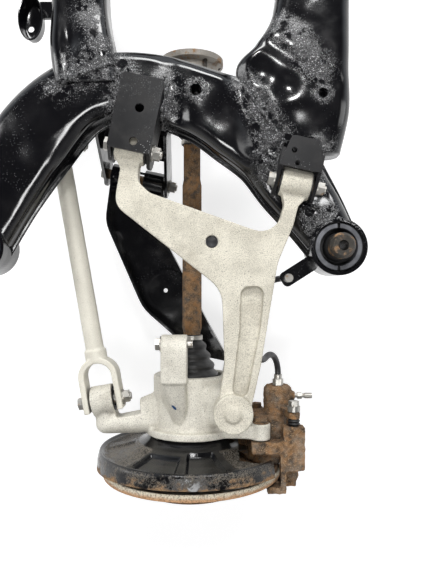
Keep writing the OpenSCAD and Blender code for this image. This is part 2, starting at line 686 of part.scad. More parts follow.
// Splash shield: a dished sheet behind the disc, cut away at the caliper
shield_r = disc_d / 2 + 10;
shield_sheet = 2;
shield_hole_r = bearing_r + 14;
shield_cut_x = 76;
shield_flat_r = shield_hole_r + 18;
shield_dish = 23;
shield_face = shield_y - shield_dish - 4;
shield_lip = disc_in + 9;
module splash_shield() {
    color(black_paint) at_left() difference() {
        wheel_turn() polygon([
            [shield_hole_r, shield_y], [shield_flat_r, shield_y],
                [shield_flat_r + 18, shield_y - shield_dish],
            [shield_r - 12, shield_face], [shield_r - 6, shield_face + 4], [shield_r - 1, shield_face],
            [shield_r, shield_lip], [shield_r - shield_sheet, shield_lip],
            [shield_r - shield_sheet - 1, shield_face - shield_sheet],
                [shield_r - 6, shield_face + 3 - shield_sheet],
            [shield_r - 12, shield_face - shield_sheet], [shield_flat_r + 17,
                shield_y - shield_dish - shield_sheet],
            [shield_flat_r - 1, shield_y - shield_sheet], [shield_hole_r, shield_y - shield_sheet]]);
        translate([wheel_x + shield_cut_x, shield_y - 60, wheel_z - 86]) cube([200, 120, 172]);
        for (i = [0:2]) at_wheel() rotate([0, 120 * i + 100, 0]) translate([shield_hole_r + 10, 0, 0])
            y_rod(3, shield_y - 20, shield_y + 20);
    }
}
module shield_screws() {
    color(zinc) at_left() for (i = [0:2]) at_wheel() rotate([0, 120 * i + 100, 0])
        translate([shield_hole_r + 10, 0, 0]) {
        y_rod(3, shield_y - shield_sheet, barrel_face);
        y_rod(6.5, shield_y - shield_sheet - 4, shield_y - shield_sheet);
    }
}

// Brake caliper: carrier, floating body, pads and guide pins
carrier_bolt_gap = ear_out - 10;
module carrier_bolts() {
    color(rust) at_left() for (side = [-1, 1]) translate([ear_x, ear_in, wheel_z + side * ear_dz])
        rotate([0, 0, -90]) hex_bolt(bolt_d, 0, ear_in - carrier_bolt_gap);
}
carrier_in = ear_out;
carrier_out = disc_out - 15;
arm_z_in = pad_half_z + 3;
arm_z_out = pin_dz + 12;
carrier_x0 = ear_x - 16;
carrier_x1 = wheel_x + disc_d / 2 + 33;
tower_x = carrier_x1 - 35;
carrier_face = ear_in - 2;
beam_thick = 18;
pad_foot_x = wheel_x + 119;
leg_x = wheel_x + disc_d / 2 + 4;
module caliper_carrier() {
    color(rust) at_left() difference() {
        union() {
            for (side = [-1, 1]) {
                translate([ear_x, 0, wheel_z + side * ear_dz])
                    y_rod(ear_r + 1, carrier_in - beam_thick, carrier_in);
                // Arms that bridge the disc's rim and hold the pads' ends
                translate([0, 0, wheel_z + side * (arm_z_in + arm_z_out) / 2])
                    linear_extrude(arm_z_out - arm_z_in, center = true) polygon(eased([
                        [carrier_x0, carrier_in, 3], [tower_x, carrier_in, 4], [tower_x, carrier_face, 2],
                        [carrier_x1, carrier_face, 4], [carrier_x1, disc_in + 9, 6],
                            [leg_x, disc_in + 9, 4],
                        [leg_x, carrier_out, 4], [pad_foot_x, carrier_out, 3],
                            [pad_foot_x, carrier_out + 12, 3],
                        [leg_x - 10, carrier_out + 12, 1], [leg_x - 10, carrier_in - 20, 4],
                        [carrier_x0, carrier_in - 20, 3]]));
            }
            translate([carrier_x1 - beam_thick, carrier_in - beam_thick, wheel_z - arm_z_in - 1])
                cube([beam_thick, beam_thick, 2 * arm_z_in + 2]);
        }
        at_wheel() y_rod(disc_d / 2 + 3, disc_out - 2, disc_in + 2);
        for (side = [-1, 1]) translate([ear_x, 0, wheel_z + side * ear_dz])
            y_rod(bolt_d / 2, carrier_bolt_gap, 0);
        for (side = [-1, 1]) translate([pin_x, 0, wheel_z + side * pin_dz])
            y_rod(pin_r + 0.2, carrier_out - 1, carrier_face + 1);
    }
}
module pad_form(y0, y1) {
    translate([wheel_x, y0, wheel_z]) rotate([-90, 0, 0]) linear_extrude(y1 - y0) intersection() {
        difference() {
            circle(r = disc_d / 2 - 3);
            circle(r = hat_r + 6);
        }
        translate([0, -pad_half_z]) square([disc_d, 2 * pad_half_z]);
    }
}
module brake_pads() {
    color(rust) at_left() {
        pad_form(disc_in + seat_gap, disc_in + seat_gap + pad_thick);
        pad_form(disc_out - seat_gap - pad_thick, disc_out - seat_gap);
    }
}
body_in = disc_in + seat_gap + pad_thick;
body_out = disc_out - seat_gap - pad_thick;
cylinder_x = wheel_x + 125;
cylinder_end = body_in + 79;
actuator_x = cylinder_x + 18;
actuator_end = cylinder_end + 46;
ear_y = carrier_face + 10;
ear_thick = 12;
bridge_x = wheel_x + disc_d / 2 + 5;
bridge_thick = 28;
body_half = pad_half_z - 15;
finger = 10;
bleed_at = [actuator_x, cylinder_end + 28, wheel_z + 8];
bleed_boss = 28;
bleed_r = 3.5;
port_at = [actuator_x, actuator_end, wheel_z + 8];
module caliper_body() {
    color(rust) at_left() difference() {
        union() {
            // Cylinder with the parking brake's housing behind it
            translate([cylinder_x, 0, wheel_z]) y_rod(piston_r + 9, body_in + seat_gap, cylinder_end);
            translate([actuator_x, 0, wheel_z]) rotate([-90, 0, 0]) rotate_extrude() polygon([
                [0, cylinder_end - 1], [piston_r + 3, cylinder_end - 1], [piston_r, cylinder_end + 8],
                [piston_r, actuator_end - 6], [piston_r - 6, actuator_end], [0, actuator_end]]);
            // Bridge over the disc and the outer fingers
            translate([cylinder_x - 5, body_in + seat_gap, wheel_z - body_half])
                cube([bridge_x + bridge_thick - cylinder_x + 5, 19, 2 * body_half]);
            translate([bridge_x, body_out, wheel_z]) rotate([-90, 0, 0])
                linear_extrude(body_in - body_out + 19)
                polygon(eased([[0, -body_half, 2], [bridge_thick - 6, -body_half, 14],
                    [bridge_thick, 0, 60],
                    [bridge_thick - 6, body_half, 14], [0, body_half, 2]]));
            for (side = [-1, 1]) translate([wheel_x + 96, body_out - finger, wheel_z + side * 17 - 11])
                cube([bridge_x + bridge_thick - 8 - wheel_x - 96, finger, 22]);
            for (side = [-1, 1]) hull() {
                translate([pin_x, 0, wheel_z + side * pin_dz])
                    y_rod(10, ear_y, ear_y + ear_thick, $fn = 24);
                translate([actuator_x + 12, 0, wheel_z + side * 14])
                    y_rod(12, ear_y, ear_y + ear_thick, $fn = 24);
            }
            translate(bleed_at) x_rod(8, 0, bleed_boss);
        }
        at_wheel() y_rod(disc_d / 2 + 3, disc_out - 2, disc_in + 2);
        for (side = [-1, 1]) translate([pin_x, 0, wheel_z + side * pin_dz])
            y_rod(pin_r + 0.2, ear_y - 1, ear_y + 60);
        translate(bleed_at) x_rod(bleed_r, bleed_boss - 16, bleed_boss + 1);
        translate(port_at) y_rod(port_r, -port_deep, 1);
    }
}
pin_r = 5;
port_r = 5;
port_deep = 14;
module guide_pins() {
    color(zinc) at_left() for (side = [-1, 1]) translate([pin_x, 0, wheel_z + side * pin_dz]) {
        y_rod(pin_r, carrier_in - 40, ear_y + ear_thick);
        y_rod(10, ear_y + ear_thick, ear_y + ear_thick + 8);
        translate([0, ear_y + ear_thick + 8, 0]) rotate([-90, 0, 0]) cylinder(r = 8.5, h = 8, $fn = 6);
    }
}
boot_waves = 2;
module guide_boots() {
    y0 = carrier_face + seat_gap;
    pitch = (ear_y - seat_gap - y0) / (2 * boot_waves);
    color(rubber_black) at_left() for (side = [-1, 1]) translate([pin_x, 0, wheel_z + side * pin_dz])
        rotate([-90, 0, 0]) rotate_extrude() polygon(concat(
            [for (i = [0:2 * boot_waves]) [i % 2 == 0 ? 8 : 10, y0 + pitch * i]],
            [[pin_r, ear_y - seat_gap], [pin_r, y0]]));
}
module bleed_screw() {
    color(zinc) at_left() translate(bleed_at) {
        x_rod(bleed_r, bleed_boss - 15, bleed_boss + 22);
        translate([bleed_boss + 4, 0, 0]) rotate([0, 90, 0]) cylinder(r = 5.8, h = 7, $fn = 6);
        x_rod(bleed_r + 1.2, bleed_boss + 16, bleed_boss + 28);
    }
}

// Brake hose from the caliper's port, under the arm, to a tab on the rear mount's housing
hose_r = 5;
clip_at = [198, -46, -66];
clip_sheet = 3;
arm_clip_at = [143.5, -138, -46];
hose_route = [
    port_at + [0, 18.2, 0], port_at + [0, 24, 0], port_at + [-1, 34, 3], [184, -178, -116],
        [176, -171, -103],
    [167, -166, -88], [158, -162, -72], [151.5, -157.5, -59], [147, -152, -50], [144, -145, -46.4],
    arm_clip_at, [144.3, -124, -47], [147, -108, -51], [152, -92, -59],
    [161, -77, -70], [174, -66, -80], [187, -56, -85], [195, -49, -83], clip_at - [0, 0, 11],
        clip_at - [0, 0, 5],
];
module brake_hose() { color(rubber_black) at_left() sweep(hose_route, hose_r); }
ferrule_r = hose_r + 1.5;
module hose_fittings() {
    color(zinc) at_left() {
        translate(port_at) y_rod(port_r, 1 - port_deep, 0);
        translate(port_at) rotate([-90, 0, 0]) cylinder(r = 9, h = 10, $fn = 6);
        translate(port_at) y_rod(ferrule_r, 10, 17.7);
    }
}
module hose_tab() {
    reach = norm([clip_at[0] - mx, clip_at[1]]);
    color(black_paint) at_left() difference() {
        translate([mx, 0, clip_at[2]]) rotate([0, 0, atan2(clip_at[1], clip_at[0] - mx)]) difference() {
            linear_extrude(clip_sheet) polygon(eased([[housing_r - 6, -12, 0], [reach + 11, -12, 8],
                [reach + 11, 12, 8], [housing_r - 6, 12, 0]]));
            translate([reach, 0, -1]) cylinder(r = ferrule_r, h = 10);
        }
        translate([mx, 0, housing_low]) cylinder(r = housing_r, h = housing_top - housing_low);
        rail_span(rail_last - 1.5, rail_last);
    }
}
module hose_clip() {
    color(zinc) at_left() translate(arm_clip_at) difference() {
        union() {
            y_rod(hose_r + 2, -5, 5);
            cylinder(r = 4, h = arm_z - arm_top - arm_clip_at[2]);
        }
        y_rod(hose_r + seat_gap, -6, 6);
    }
}
module hose_end() {
    color(zinc) at_left() translate(clip_at - [0, 0, 4.7]) cylinder(r = ferrule_r, h = 22);
}

// Half shaft: outer joint, boots, bar and inner joint
boot_small_y = -148;
module outer_joint_bell() {
    color(rust) at_left() wheel_turn() polygon([
        [0, hub_face - 16], [10.9, hub_face - 16], [10.9, hub_face - 5], [13.9, hub_face - 3],
            [13.9, bearing_in + 6],
        [30, bearing_in + 8], [bell_r, bearing_in + 16], [bell_r, bell_in], [bell_r - 6, bell_in],
            [32, joint_centre_y],
        [20, joint_centre_y - 16], [0, joint_centre_y - 20]]);
}
module shaft_bar() {
    color(rust) at_left() {
        wheel_turn() polygon([
            [0, joint_centre_y - 12], [16, joint_centre_y - 10], [26, joint_centre_y],
                [16, joint_centre_y + 10],
            [shaft_d / 2 - 1, joint_centre_y + 20], [shaft_d / 2 - 1, boot_small_y - 8],
                [shaft_d / 2, boot_small_y - 4],
            [shaft_d / 2, boot_small_y + 12], [shaft_d / 2 + 2, boot_small_y + 20],
                [shaft_d / 2 + 2, inner_boot_small - 76],
            [shaft_d / 2, inner_boot_small - 66], [shaft_d / 2, inner_boot_small + 2],
                [shaft_d / 2 - 1, inner_boot_small + 6], [shaft_d / 2 - 1, shaft_end], [0, shaft_end]]);
        for (i = [0:2]) at_wheel() rotate([0, 120 * i, 0]) translate([0, shaft_end - 12, 0]) {
            cylinder(r = 7, h = 20);
            translate([0, 0, 18]) cylinder(r = 12, h = 12);
        }
    }
}
// A bellows profile: waves that widen from r0 to r1 between two stations
function bellows(r0, r1, y0, y1, waves, deep) =
    [for (i = [0:2 * waves]) [r0 + (r1 - r0) * i / (2 * waves) + (i % 2 == 1 ? deep : 0), y0 + (y1 - y0)
        * i / (2 * waves)]];
boot_wall = 2.5;
module boot(r_small, r_big, y_small, y_big, collar, waves) {
    dir = sign(y_big - y_small);
    outer = concat([[r_small, y_small - dir * collar]], bellows(r_small, r_big, y_small, y_big, waves, 4),
        [[r_big, y_big + dir * collar]]);
    n = len(outer);
    wheel_turn() polygon(concat(outer, [for (i = [n - 1:-1:0]) outer[i] - [boot_wall, 0]]));
}
module outer_boot() {
    color(rubber_black) at_left()
        boot(shaft_d / 2 + boot_wall + clearance, bell_r + boot_wall + clearance, boot_small_y, bell_in,
            9, 4);
}
module inner_boot() {
    color(rubber_black) at_left()
        boot(shaft_d / 2 + boot_wall + clearance, tulip_r + boot_wall + clearance, inner_boot_small,
            tulip_in, 9, 3);
}
module boot_clamps() {
    band = 1.2;
    r_small = shaft_d / 2 + boot_wall + 2 * clearance;
    color(zinc) at_left() {
        for (y = [boot_small_y + 1, inner_boot_small - 8]) wheel_turn() translate([r_small, y])
            square([band, 7]);
        wheel_turn() translate([tulip_r + boot_wall + 2 * clearance, tulip_in + 1]) square([band, 7]);
    }
}
inner_flange_r = 52;
module inner_joint_housing() {
    color(rust) at_left() difference() {
        wheel_turn() polygon([
            [0, tulip_out], [inner_flange_r, tulip_out], [inner_flange_r, tulip_out - 9],
                [tulip_r, tulip_out - 14],
            [tulip_r, tulip_in], [tulip_r - 5, tulip_in], [tulip_r - 5, tulip_out - 20],
                [0, tulip_out - 20]]);
        for (i = [0:5]) at_wheel() rotate([0, 60 * i, 0]) translate([inner_flange_r - 8, 0, 0])
            y_rod(4.2, tulip_out - 30, tulip_out + 5);
    }
}

// Spring link: an open pressed channel in the frame of its inner pivot
link_eye_r = 21;
link_eye_half = 18;
link_eye_x = link_half - link_eye_half;
link_outline = [
    [-link_half, 12, 4], [link_half, 12, 4], [link_half + 18, -90, 60], [link_skew - 14, -230, 80],
    [link_skew + link_fork_half + link_sheet, -arm_length + 60, 40],
    [link_skew + link_fork_half + link_sheet, -arm_length - 20, 3],
    [link_skew - link_fork_half - link_sheet, -arm_length - 20, 3],
    [link_skew - link_fork_half - link_sheet, -arm_length + 60, 40],
    [60, -230, 80], [-link_half + 8, -90, 60],
];
function inset(pts, d) = let(n = len(pts)) [for (i = [0:n - 1])
    let(p = [pts[i][0], pts[i][1]], a = unit([for (k = [0:1]) p[k] - pts[(i + n - 1) % n][k]]),
        b = unit([for (k = [0:1]) pts[(i + 1) % n][k] - p[k]]),
        na = [a[1], -a[0]], nb = [b[1], -b[0]], s = unit(na + nb))
    [p[0] + s[0] * d / (s * na), p[1] + s[1] * d / (s * na), max(0, pts[i][2] - d)]];
seat_centre = [90, -190];
seat_r = 40;
module spring_link() {
    low = -link_height / 2 - 4;
    fork_drop = link_boss_r + 3;
    color(black_paint) at_left() at_pivot(link_inner) difference() {
        union() {
            difference() {
                translate([0, 0, low]) linear_extrude(link_height) polygon(eased(link_outline));
                translate([0, 0, low + link_sheet]) linear_extrude(link_height)
                    polygon(eased(inset(link_outline, link_sheet)));
            }
            for (side = [-1, 1]) translate([side * link_eye_x, 0, 0])
                x_rod(link_eye_r, -link_eye_half, link_eye_half);
            translate([seat_centre[0], seat_centre[1], low]) difference() {
                cylinder(r = seat_r, h = link_sheet + 9);
                translate([0, 0, link_sheet + 5]) cylinder(r = seat_r - 8, h = 20);
            }
        }
        for (side = [-1, 1]) translate([side * link_eye_x, 0, 0]) x_rod(rubber_d / 2, -40, 40);
        x_rod(link_eye_r, -link_eye_x + link_eye_half, link_eye_x - link_eye_half);
        translate([seat_centre[0], seat_centre[1], 0]) cylinder(r = 4, h = 200, center = true);
        translate([link_skew, -arm_length, 0]) {
            x_rod(bracket_hole_r, -80, 80);
            translate([-link_fork_half, -fork_drop - 20, low - 1])
                cube([2 * link_fork_half, 2 * fork_drop + 40, link_height + 10]);
        }
    }
}
module spring_link_bushes() {
    color(rubber_black) at_left() at_pivot(link_inner) for (side = [-1, 1])
        translate([side * link_eye_x, 0, 0]) rubber_bush(link_eye_half);
}
module link_outer_bolt() {
    half = link_fork_half + link_sheet;
    color(zinc) at_left() at_pivot(link_outer) {
        hex_bolt(bolt_d, -half, half + 14);
        tube_x(sleeve_d / 2, bolt_d / 2 - 0.01, link_fork_half);
    }
}
module link_outer_nut() { color(zinc) at_left() at_pivot(link_outer)
    hex_nut(bolt_d, link_fork_half + link_sheet); }

// Radius rod: round bar with a bush eye and a forged fork
fork_half = rod_gap / 2;
fork_arch = fork_half + fork_ear;
fork_height = 34;
fork_reach = 40;
module radius_rod() {
    color(cast_alloy) at_left() difference() {
        union() {
            translate(rod_outer) rotate([0, 0, rod_angle + 90]) {
                translate([0, 0, -fork_height / 2]) linear_extrude(fork_height) union() {
                    translate([0, fork_reach]) circle(r = fork_arch);
                    for (side = [-1, 1]) translate([side * (fork_half + fork_ear / 2) - fork_ear / 2,
                        -17]) square([fork_ear, fork_reach + 17]);
                }
                y_rod(rod_d / 2, fork_reach + 10, rod_len);
                y_rod(rod_d / 2 + 3, fork_reach + 26, fork_reach + 44);
            }
            at_pivot(rod_inner) x_rod(link_eye_r, -rod_eye_half, rod_eye_half);
        }
        translate(rod_outer) rotate([0, 0, rod_angle + 90]) {
            translate([0, fork_reach, 0]) cylinder(r = fork_half, h = 100, center = true);
            translate([-fork_half, -40, -50]) cube([2 * fork_half, fork_reach + 40, 100]);
            x_rod(bracket_hole_r, -100, 100);
        }
        at_pivot(rod_inner) x_rod(rubber_d / 2, -60, 60);
    }
}
module rod_inner_bush() { color(rubber_black) at_left() at_pivot(rod_inner) rubber_bush(rod_eye_half); }
module rod_ball() {
    color(zinc) at_left() translate(rod_outer) rotate([0, 0, rod_angle + 90]) difference() {
        union() {
            rotate([0, 90, 0]) rotate_extrude() intersection() {
                circle(r = rod_ball_r);
                square([40, 80]);
            }
            sphere(r = rod_ball_r);
            x_rod(sleeve_d / 2, -fork_half, fork_half);
        }
        x_rod(bolt_d / 2, -100, 100);
    }
}
module rod_fork_bolt() {
    color(zinc) at_left() translate(rod_outer) rotate([0, 0, rod_angle + 90])
        hex_bolt(bolt_d, -fork_arch, fork_arch + 14);
}
module rod_fork_nut() {
    color(zinc) at_left() translate(rod_outer) rotate([0, 0, rod_angle + 90]) hex_nut(bolt_d, fork_arch);
}

at_left() side_rail();  // side_rail_left
at_right() side_rail();  // side_rail_right
front_cross_member();
rear_cross_member();
at_left() front_arm_bracket();  // arm_bracket_front_left
at_right() front_arm_bracket();  // arm_bracket_front_right
at_left() rear_arm_bracket();  // arm_bracket_rear_left
at_right() rear_arm_bracket();  // arm_bracket_rear_right
at_left() link_bracket();  // link_bracket_left
at_right() link_bracket();  // link_bracket_right
at_left() rod_bracket();  // rod_bracket_left
at_right() rod_bracket();  // rod_bracket_right
hanger_bracket();
mount_sleeves();
mount_rubbers();
pivot_bolts();
pivot_nuts();
pivot_sleeves();
upper_arm();
upper_arm_bushes();
ball_joint_cap();
knuckle();
ball_stud();
knuckle_link_bush();
knuckle_rod_bush();
shock_bolt();
wheel_bearing();
splash_shield();
shield_screws();
caliper_carrier();
carrier_bolts();
caliper_body();
brake_pads();
guide_pins();
guide_boots();
bleed_screw();
brake_hose();
hose_fittings();
hose_tab();
hose_end();
hose_clip();
hub_flange();
brake_disc();
outer_joint_bell();
axle_nut();
outer_boot();
inner_boot();
shaft_bar();
boot_clamps();
inner_joint_housing();
spring_link();
spring_link_bushes();
link_outer_bolt();
link_outer_nut();
radius_rod();
rod_inner_bush();
rod_ball();
rod_fork_bolt();
rod_fork_nut();
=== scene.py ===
"""Looks of a rear suspension subframe with its left corner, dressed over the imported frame."""

import json
import logging
import math
from abc import ABC, abstractmethod
from dataclasses import dataclass, field
from enum import Enum
from functools import cached_property
from typing import Optional, Sequence

import bmesh
import bpy
import numpy as np
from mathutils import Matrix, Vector
from mathutils.bvhtree import BVHTree

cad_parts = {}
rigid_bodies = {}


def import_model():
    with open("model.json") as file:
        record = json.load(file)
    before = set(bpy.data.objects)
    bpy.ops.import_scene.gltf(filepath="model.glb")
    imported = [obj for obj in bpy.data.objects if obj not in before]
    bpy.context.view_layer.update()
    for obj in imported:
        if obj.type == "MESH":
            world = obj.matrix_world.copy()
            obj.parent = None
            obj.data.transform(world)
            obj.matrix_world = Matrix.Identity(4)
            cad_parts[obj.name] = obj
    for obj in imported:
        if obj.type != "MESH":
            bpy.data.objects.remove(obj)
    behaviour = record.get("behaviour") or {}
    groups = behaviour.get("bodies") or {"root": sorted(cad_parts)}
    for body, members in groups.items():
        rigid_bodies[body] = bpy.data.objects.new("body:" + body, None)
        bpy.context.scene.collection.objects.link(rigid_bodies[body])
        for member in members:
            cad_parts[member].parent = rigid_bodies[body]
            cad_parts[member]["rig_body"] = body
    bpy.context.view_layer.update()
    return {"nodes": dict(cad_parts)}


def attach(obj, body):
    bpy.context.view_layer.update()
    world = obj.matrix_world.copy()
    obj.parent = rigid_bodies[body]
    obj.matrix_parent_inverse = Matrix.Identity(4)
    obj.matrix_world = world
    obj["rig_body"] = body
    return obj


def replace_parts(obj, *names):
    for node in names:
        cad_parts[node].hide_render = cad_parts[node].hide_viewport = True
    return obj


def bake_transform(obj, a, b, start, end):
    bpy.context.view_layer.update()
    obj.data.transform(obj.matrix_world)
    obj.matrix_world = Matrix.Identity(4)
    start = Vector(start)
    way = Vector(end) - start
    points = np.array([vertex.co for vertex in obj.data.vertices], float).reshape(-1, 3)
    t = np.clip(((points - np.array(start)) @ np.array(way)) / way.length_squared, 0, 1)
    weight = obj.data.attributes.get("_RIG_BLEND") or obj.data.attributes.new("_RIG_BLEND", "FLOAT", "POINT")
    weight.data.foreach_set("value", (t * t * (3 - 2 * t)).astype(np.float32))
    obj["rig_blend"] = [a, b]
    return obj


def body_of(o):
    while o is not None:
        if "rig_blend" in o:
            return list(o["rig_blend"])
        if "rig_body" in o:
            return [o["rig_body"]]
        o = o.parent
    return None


logging.basicConfig(level=logging.INFO, format="%(message)s")
LOG = logging.getLogger("subframe")

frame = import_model()

MM = 0.001
BLOCK = 20000
FAR = 1e3
OFF_AXIS = np.array([0.13, 0.21, 0.97])
BOX_FACES = ((0, 1, 3, 2), (4, 5, 7, 6), (0, 1, 5, 4), (2, 3, 7, 6), (0, 2, 6, 4), (1, 3, 7, 5))
Array = np.ndarray
Colour = tuple[float, float, float]
Obj = bpy.types.Object
Mat = bpy.types.Material
Tree = bpy.types.NodeTree
Socket = bpy.types.NodeSocket


class Side(Enum):
    """Side of the car, as the sign of Y."""

    LEFT = -1.0
    RIGHT = 1.0


class Change(Enum):
    """What a tool does to a piece."""

    JOIN = "UNION"
    CUT = "DIFFERENCE"


# Arrays to meshes


def quads(rows: int, cols: int, closed: bool) -> Array:
    """Faces of a grid of points.

    Args:
        rows: number of rings or rows.
        cols: number of points in each row.
        closed: whether each row is a closed ring.

    Returns:
        An array of four point numbers per face, running row by row.
    """
    span = cols if closed else cols - 1
    i, j = np.meshgrid(np.arange(rows - 1), np.arange(span), indexing="ij")
    k = (j + 1) % cols
    return np.stack([i * cols + j, i * cols + k, (i + 1) * cols + k, (i + 1) * cols + j], axis=-1).reshape(-1, 4)


def mesh_piece(name: str, points: Array, faces: Sequence[Sequence[int]], smooth: bool = True) -> Obj:
    """A mesh object in the row frame, with its faces turned outwards.

    Args:
        name: the piece's name.
        points: point positions in metres, one row each.
        faces: point numbers of each face.
        smooth: whether the faces are shaded smooth.

    Returns:
        The new object, linked to the scene.
    """
    mesh = bpy.data.meshes.new(name)
    mesh.from_pydata(np.asarray(points, float).tolist(), [], [list(map(int, f)) for f in faces])
    work = bmesh.new()
    work.from_mesh(mesh)
    bmesh.ops.remove_doubles(work, verts=work.verts, dist=1e-6)
    bmesh.ops.recalc_face_normals(work, faces=work.faces)
    work.to_mesh(mesh)
    work.free()
    mesh.polygons.foreach_set("use_smooth", np.full(len(mesh.polygons), smooth))
    piece = bpy.data.objects.new(name, mesh)
    bpy.context.scene.collection.objects.link(piece)
    return piece


def capped(rings: Array) -> tuple[Array, list[list[int]]]:
    """Points and faces of a skin over closed rings, with a flat cap at each end.

    Args:
        rings: array of rings, points and coordinates.

    Returns:
        The points in one list, and the faces.
    """
    rows, cols = rings.shape[:2]
    faces = quads(rows, cols, True).tolist()
    faces.append(list(range(cols))[::-1])
    faces.append([(rows - 1) * cols + j for j in range(cols)])
    return rings.reshape(-1, 3), faces


def catmull(points: Array, t: Array) -> Array:
    """Catmull-Rom curve: a cubic between each two rows, with slopes from the rows on either side.

    Args:
        points: the rows that the curve passes through.
        t: station numbers, whole at the given rows.

    Returns:
        One row for each station number.
    """
    p = np.asarray(points, float)
    last = len(p) - 1
    i = np.clip(np.floor(t).astype(int), 0, last - 1)
    f = (np.asarray(t, float) - i)[:, None]
    a, b, c, d = p[np.maximum(i - 1, 0)], p[i], p[i + 1], p[np.minimum(i + 2, last)]
    return 0.5 * (2 * b + (c - a) * f + (2 * a - 5 * b + 4 * c - d) * f**2 + (3 * b - a - 3 * c + d) * f**3)


def unit(vectors: Array) -> Array:
    """The vectors, one per row, scaled to length 1."""
    return vectors / np.linalg.norm(vectors, axis=1, keepdims=True)


def tube(path: Array, radius: Array, sides: int) -> Array:
    """Rings of a round bar: a circle of the given radius carried square to the path.

    Args:
        path: points along the middle, in metres.
        radius: radius at each point, or one for all.
        sides: points on each ring.

    Returns:
        Rings, points and coordinates.
    """
    heading = unit(np.gradient(path, axis=0))
    side = unit(np.cross(heading, OFF_AXIS))
    up = np.cross(side, heading)
    angle = np.linspace(0, 2 * np.pi, sides, endpoint=False)[None, :, None]
    r = np.broadcast_to(radius, len(path))[:, None, None]
    return path[:, None] + r * (np.cos(angle) * side[:, None] + np.sin(angle) * up[:, None])


def lathe(profile: Array, centre: Array, sides: int, upright: bool = False) -> tuple[Array, list[list[int]]]:
    """A closed profile of radius and height, turned about an axis through centre.

    Args:
        profile: radius and height of each point, as a closed loop, in metres.
        centre: the axis's two coordinates: X and Z, or X and Y if upright.
        sides: points round the axis.
        upright: whether the axis runs along Z instead of Y.

    Returns:
        Points and faces of the ring-shaped solid.
    """
    angle = np.linspace(0, 2 * np.pi, sides, endpoint=False)
    a = centre[0] + profile[None, :, 0] * np.cos(angle)[:, None]
    b = centre[1] + profile[None, :, 0] * np.sin(angle)[:, None]
    along = np.broadcast_to(profile[:, 1], a.shape)
    rings = np.stack([a, b, along] if upright else [a, along, b], axis=-1)
    rings = np.concatenate([rings, rings[:1]])
    return rings.reshape(-1, 3), quads(sides + 1, len(profile), True).tolist()


def soft_step(x: Array) -> Array:
    """0 below 0, 1 above 1 and a smooth cubic between."""
    t = np.clip(x, 0.0, 1.0)
    return t * t * (3 - 2 * t)


def wobble(points: Array, scale: float, seed: float) -> Array:
    """A smooth, repeatable wave over space: the mean of sines along three slanted directions.

    Args:
        points: where it is taken.
        scale: size of the waves.
        seed: shifts the waves.

    Returns:
        A value from -1 to 1 at each point.
    """
    p = np.asarray(points) / scale
    a = np.sin(p @ np.array([1.7, 2.3, -1.1]) + seed) + np.sin(p @ np.array([-2.9, 1.3, 2.1]) + 2.1 * seed)
    return (a + np.sin(p @ np.array([3.7, -3.1, 4.3]) + 0.7 * seed)) / 3.0


def settled(piece: Obj) -> Obj:
    """Bakes a piece's modifiers into its mesh.

    Args:
        piece: the piece.

    Returns:
        The same piece.
    """
    graph = bpy.context.evaluated_depsgraph_get()
    graph.update()
    mesh = bpy.data.meshes.new_from_object(piece.evaluated_get(graph))
    piece.modifiers.clear()
    piece.data = mesh
    return piece


def point_data(piece: Obj, kind: str) -> Array:
    """One vector for each point of a piece's mesh.

    Args:
        piece: the piece.
        kind: "co" for positions, "normal" for normals.

    Returns:
        One row per point.
    """
    flat = np.empty(3 * len(piece.data.vertices))
    piece.data.vertices.foreach_get(kind, flat)
    return flat.reshape(-1, 3)


def positions(piece: Obj) -> Array:
    """Point positions of a piece's mesh."""
    return point_data(piece, "co")


def set_mask(piece: Obj, name: str, values: Array) -> None:
    """Stores one number per point on the piece, for its material to read."""
    layer = piece.data.attributes.get(name) or piece.data.attributes.new(name, "FLOAT", "POINT")
    layer.data.foreach_set("value", np.asarray(values, np.float32))


def near_paths(points: Array, paths: Sequence[Array], reach: float) -> Array:
    """How near each point lies to any of the paths: a bell curve of its distance to every third path point.

    Args:
        points: the points, taken in blocks to save memory.
        paths: the paths.
        reach: distance at which the curve has fallen to about a third.

    Returns:
        1 on a path and 0 far from all of them.
    """
    best = np.full(len(points), FAR)
    for path in paths:
        for low in range(0, len(points), BLOCK):
            block = slice(low, low + BLOCK)
            gap = np.linalg.norm(points[block, None] - path[None, ::3], axis=-1).min(axis=1)
            best[block] = np.minimum(best[block], gap)
    return np.exp(-((best / reach) ** 2))


def box_piece(name: str, x: tuple, y: tuple, z: tuple) -> Obj:
    """A plain box between two values of each coordinate, in millimetres."""
    corners = np.stack(np.meshgrid(x, y, z, indexing="ij"), axis=-1).reshape(-1, 3)
    return mesh_piece(name, corners * MM, BOX_FACES, smooth=False)


def bar_piece(x: float, y: float, r: float, low: float, top: float) -> Obj:
    """An upright round bar for cutting or joining, in millimetres."""
    path = np.array([[x, y, low], [x, y, top]]) * MM
    return mesh_piece("cutter", *capped(tube(path, r * MM, 64)), smooth=False)


def changed(piece: Obj, tool: Obj, change: Change) -> Obj:
    """Joins a tool to a piece or cuts it away, and removes the tool.

    Args:
        piece: the piece.
        tool: the shape to join or cut away.
        change: which of the two.

    Returns:
        The changed piece.
    """
    step = piece.modifiers.new("cut", "BOOLEAN")
    step.operation = change.value
    step.object = tool
    step.solver = "EXACT"
    piece = settled(piece)
    bpy.data.objects.remove(tool)
    return piece


# Shader building


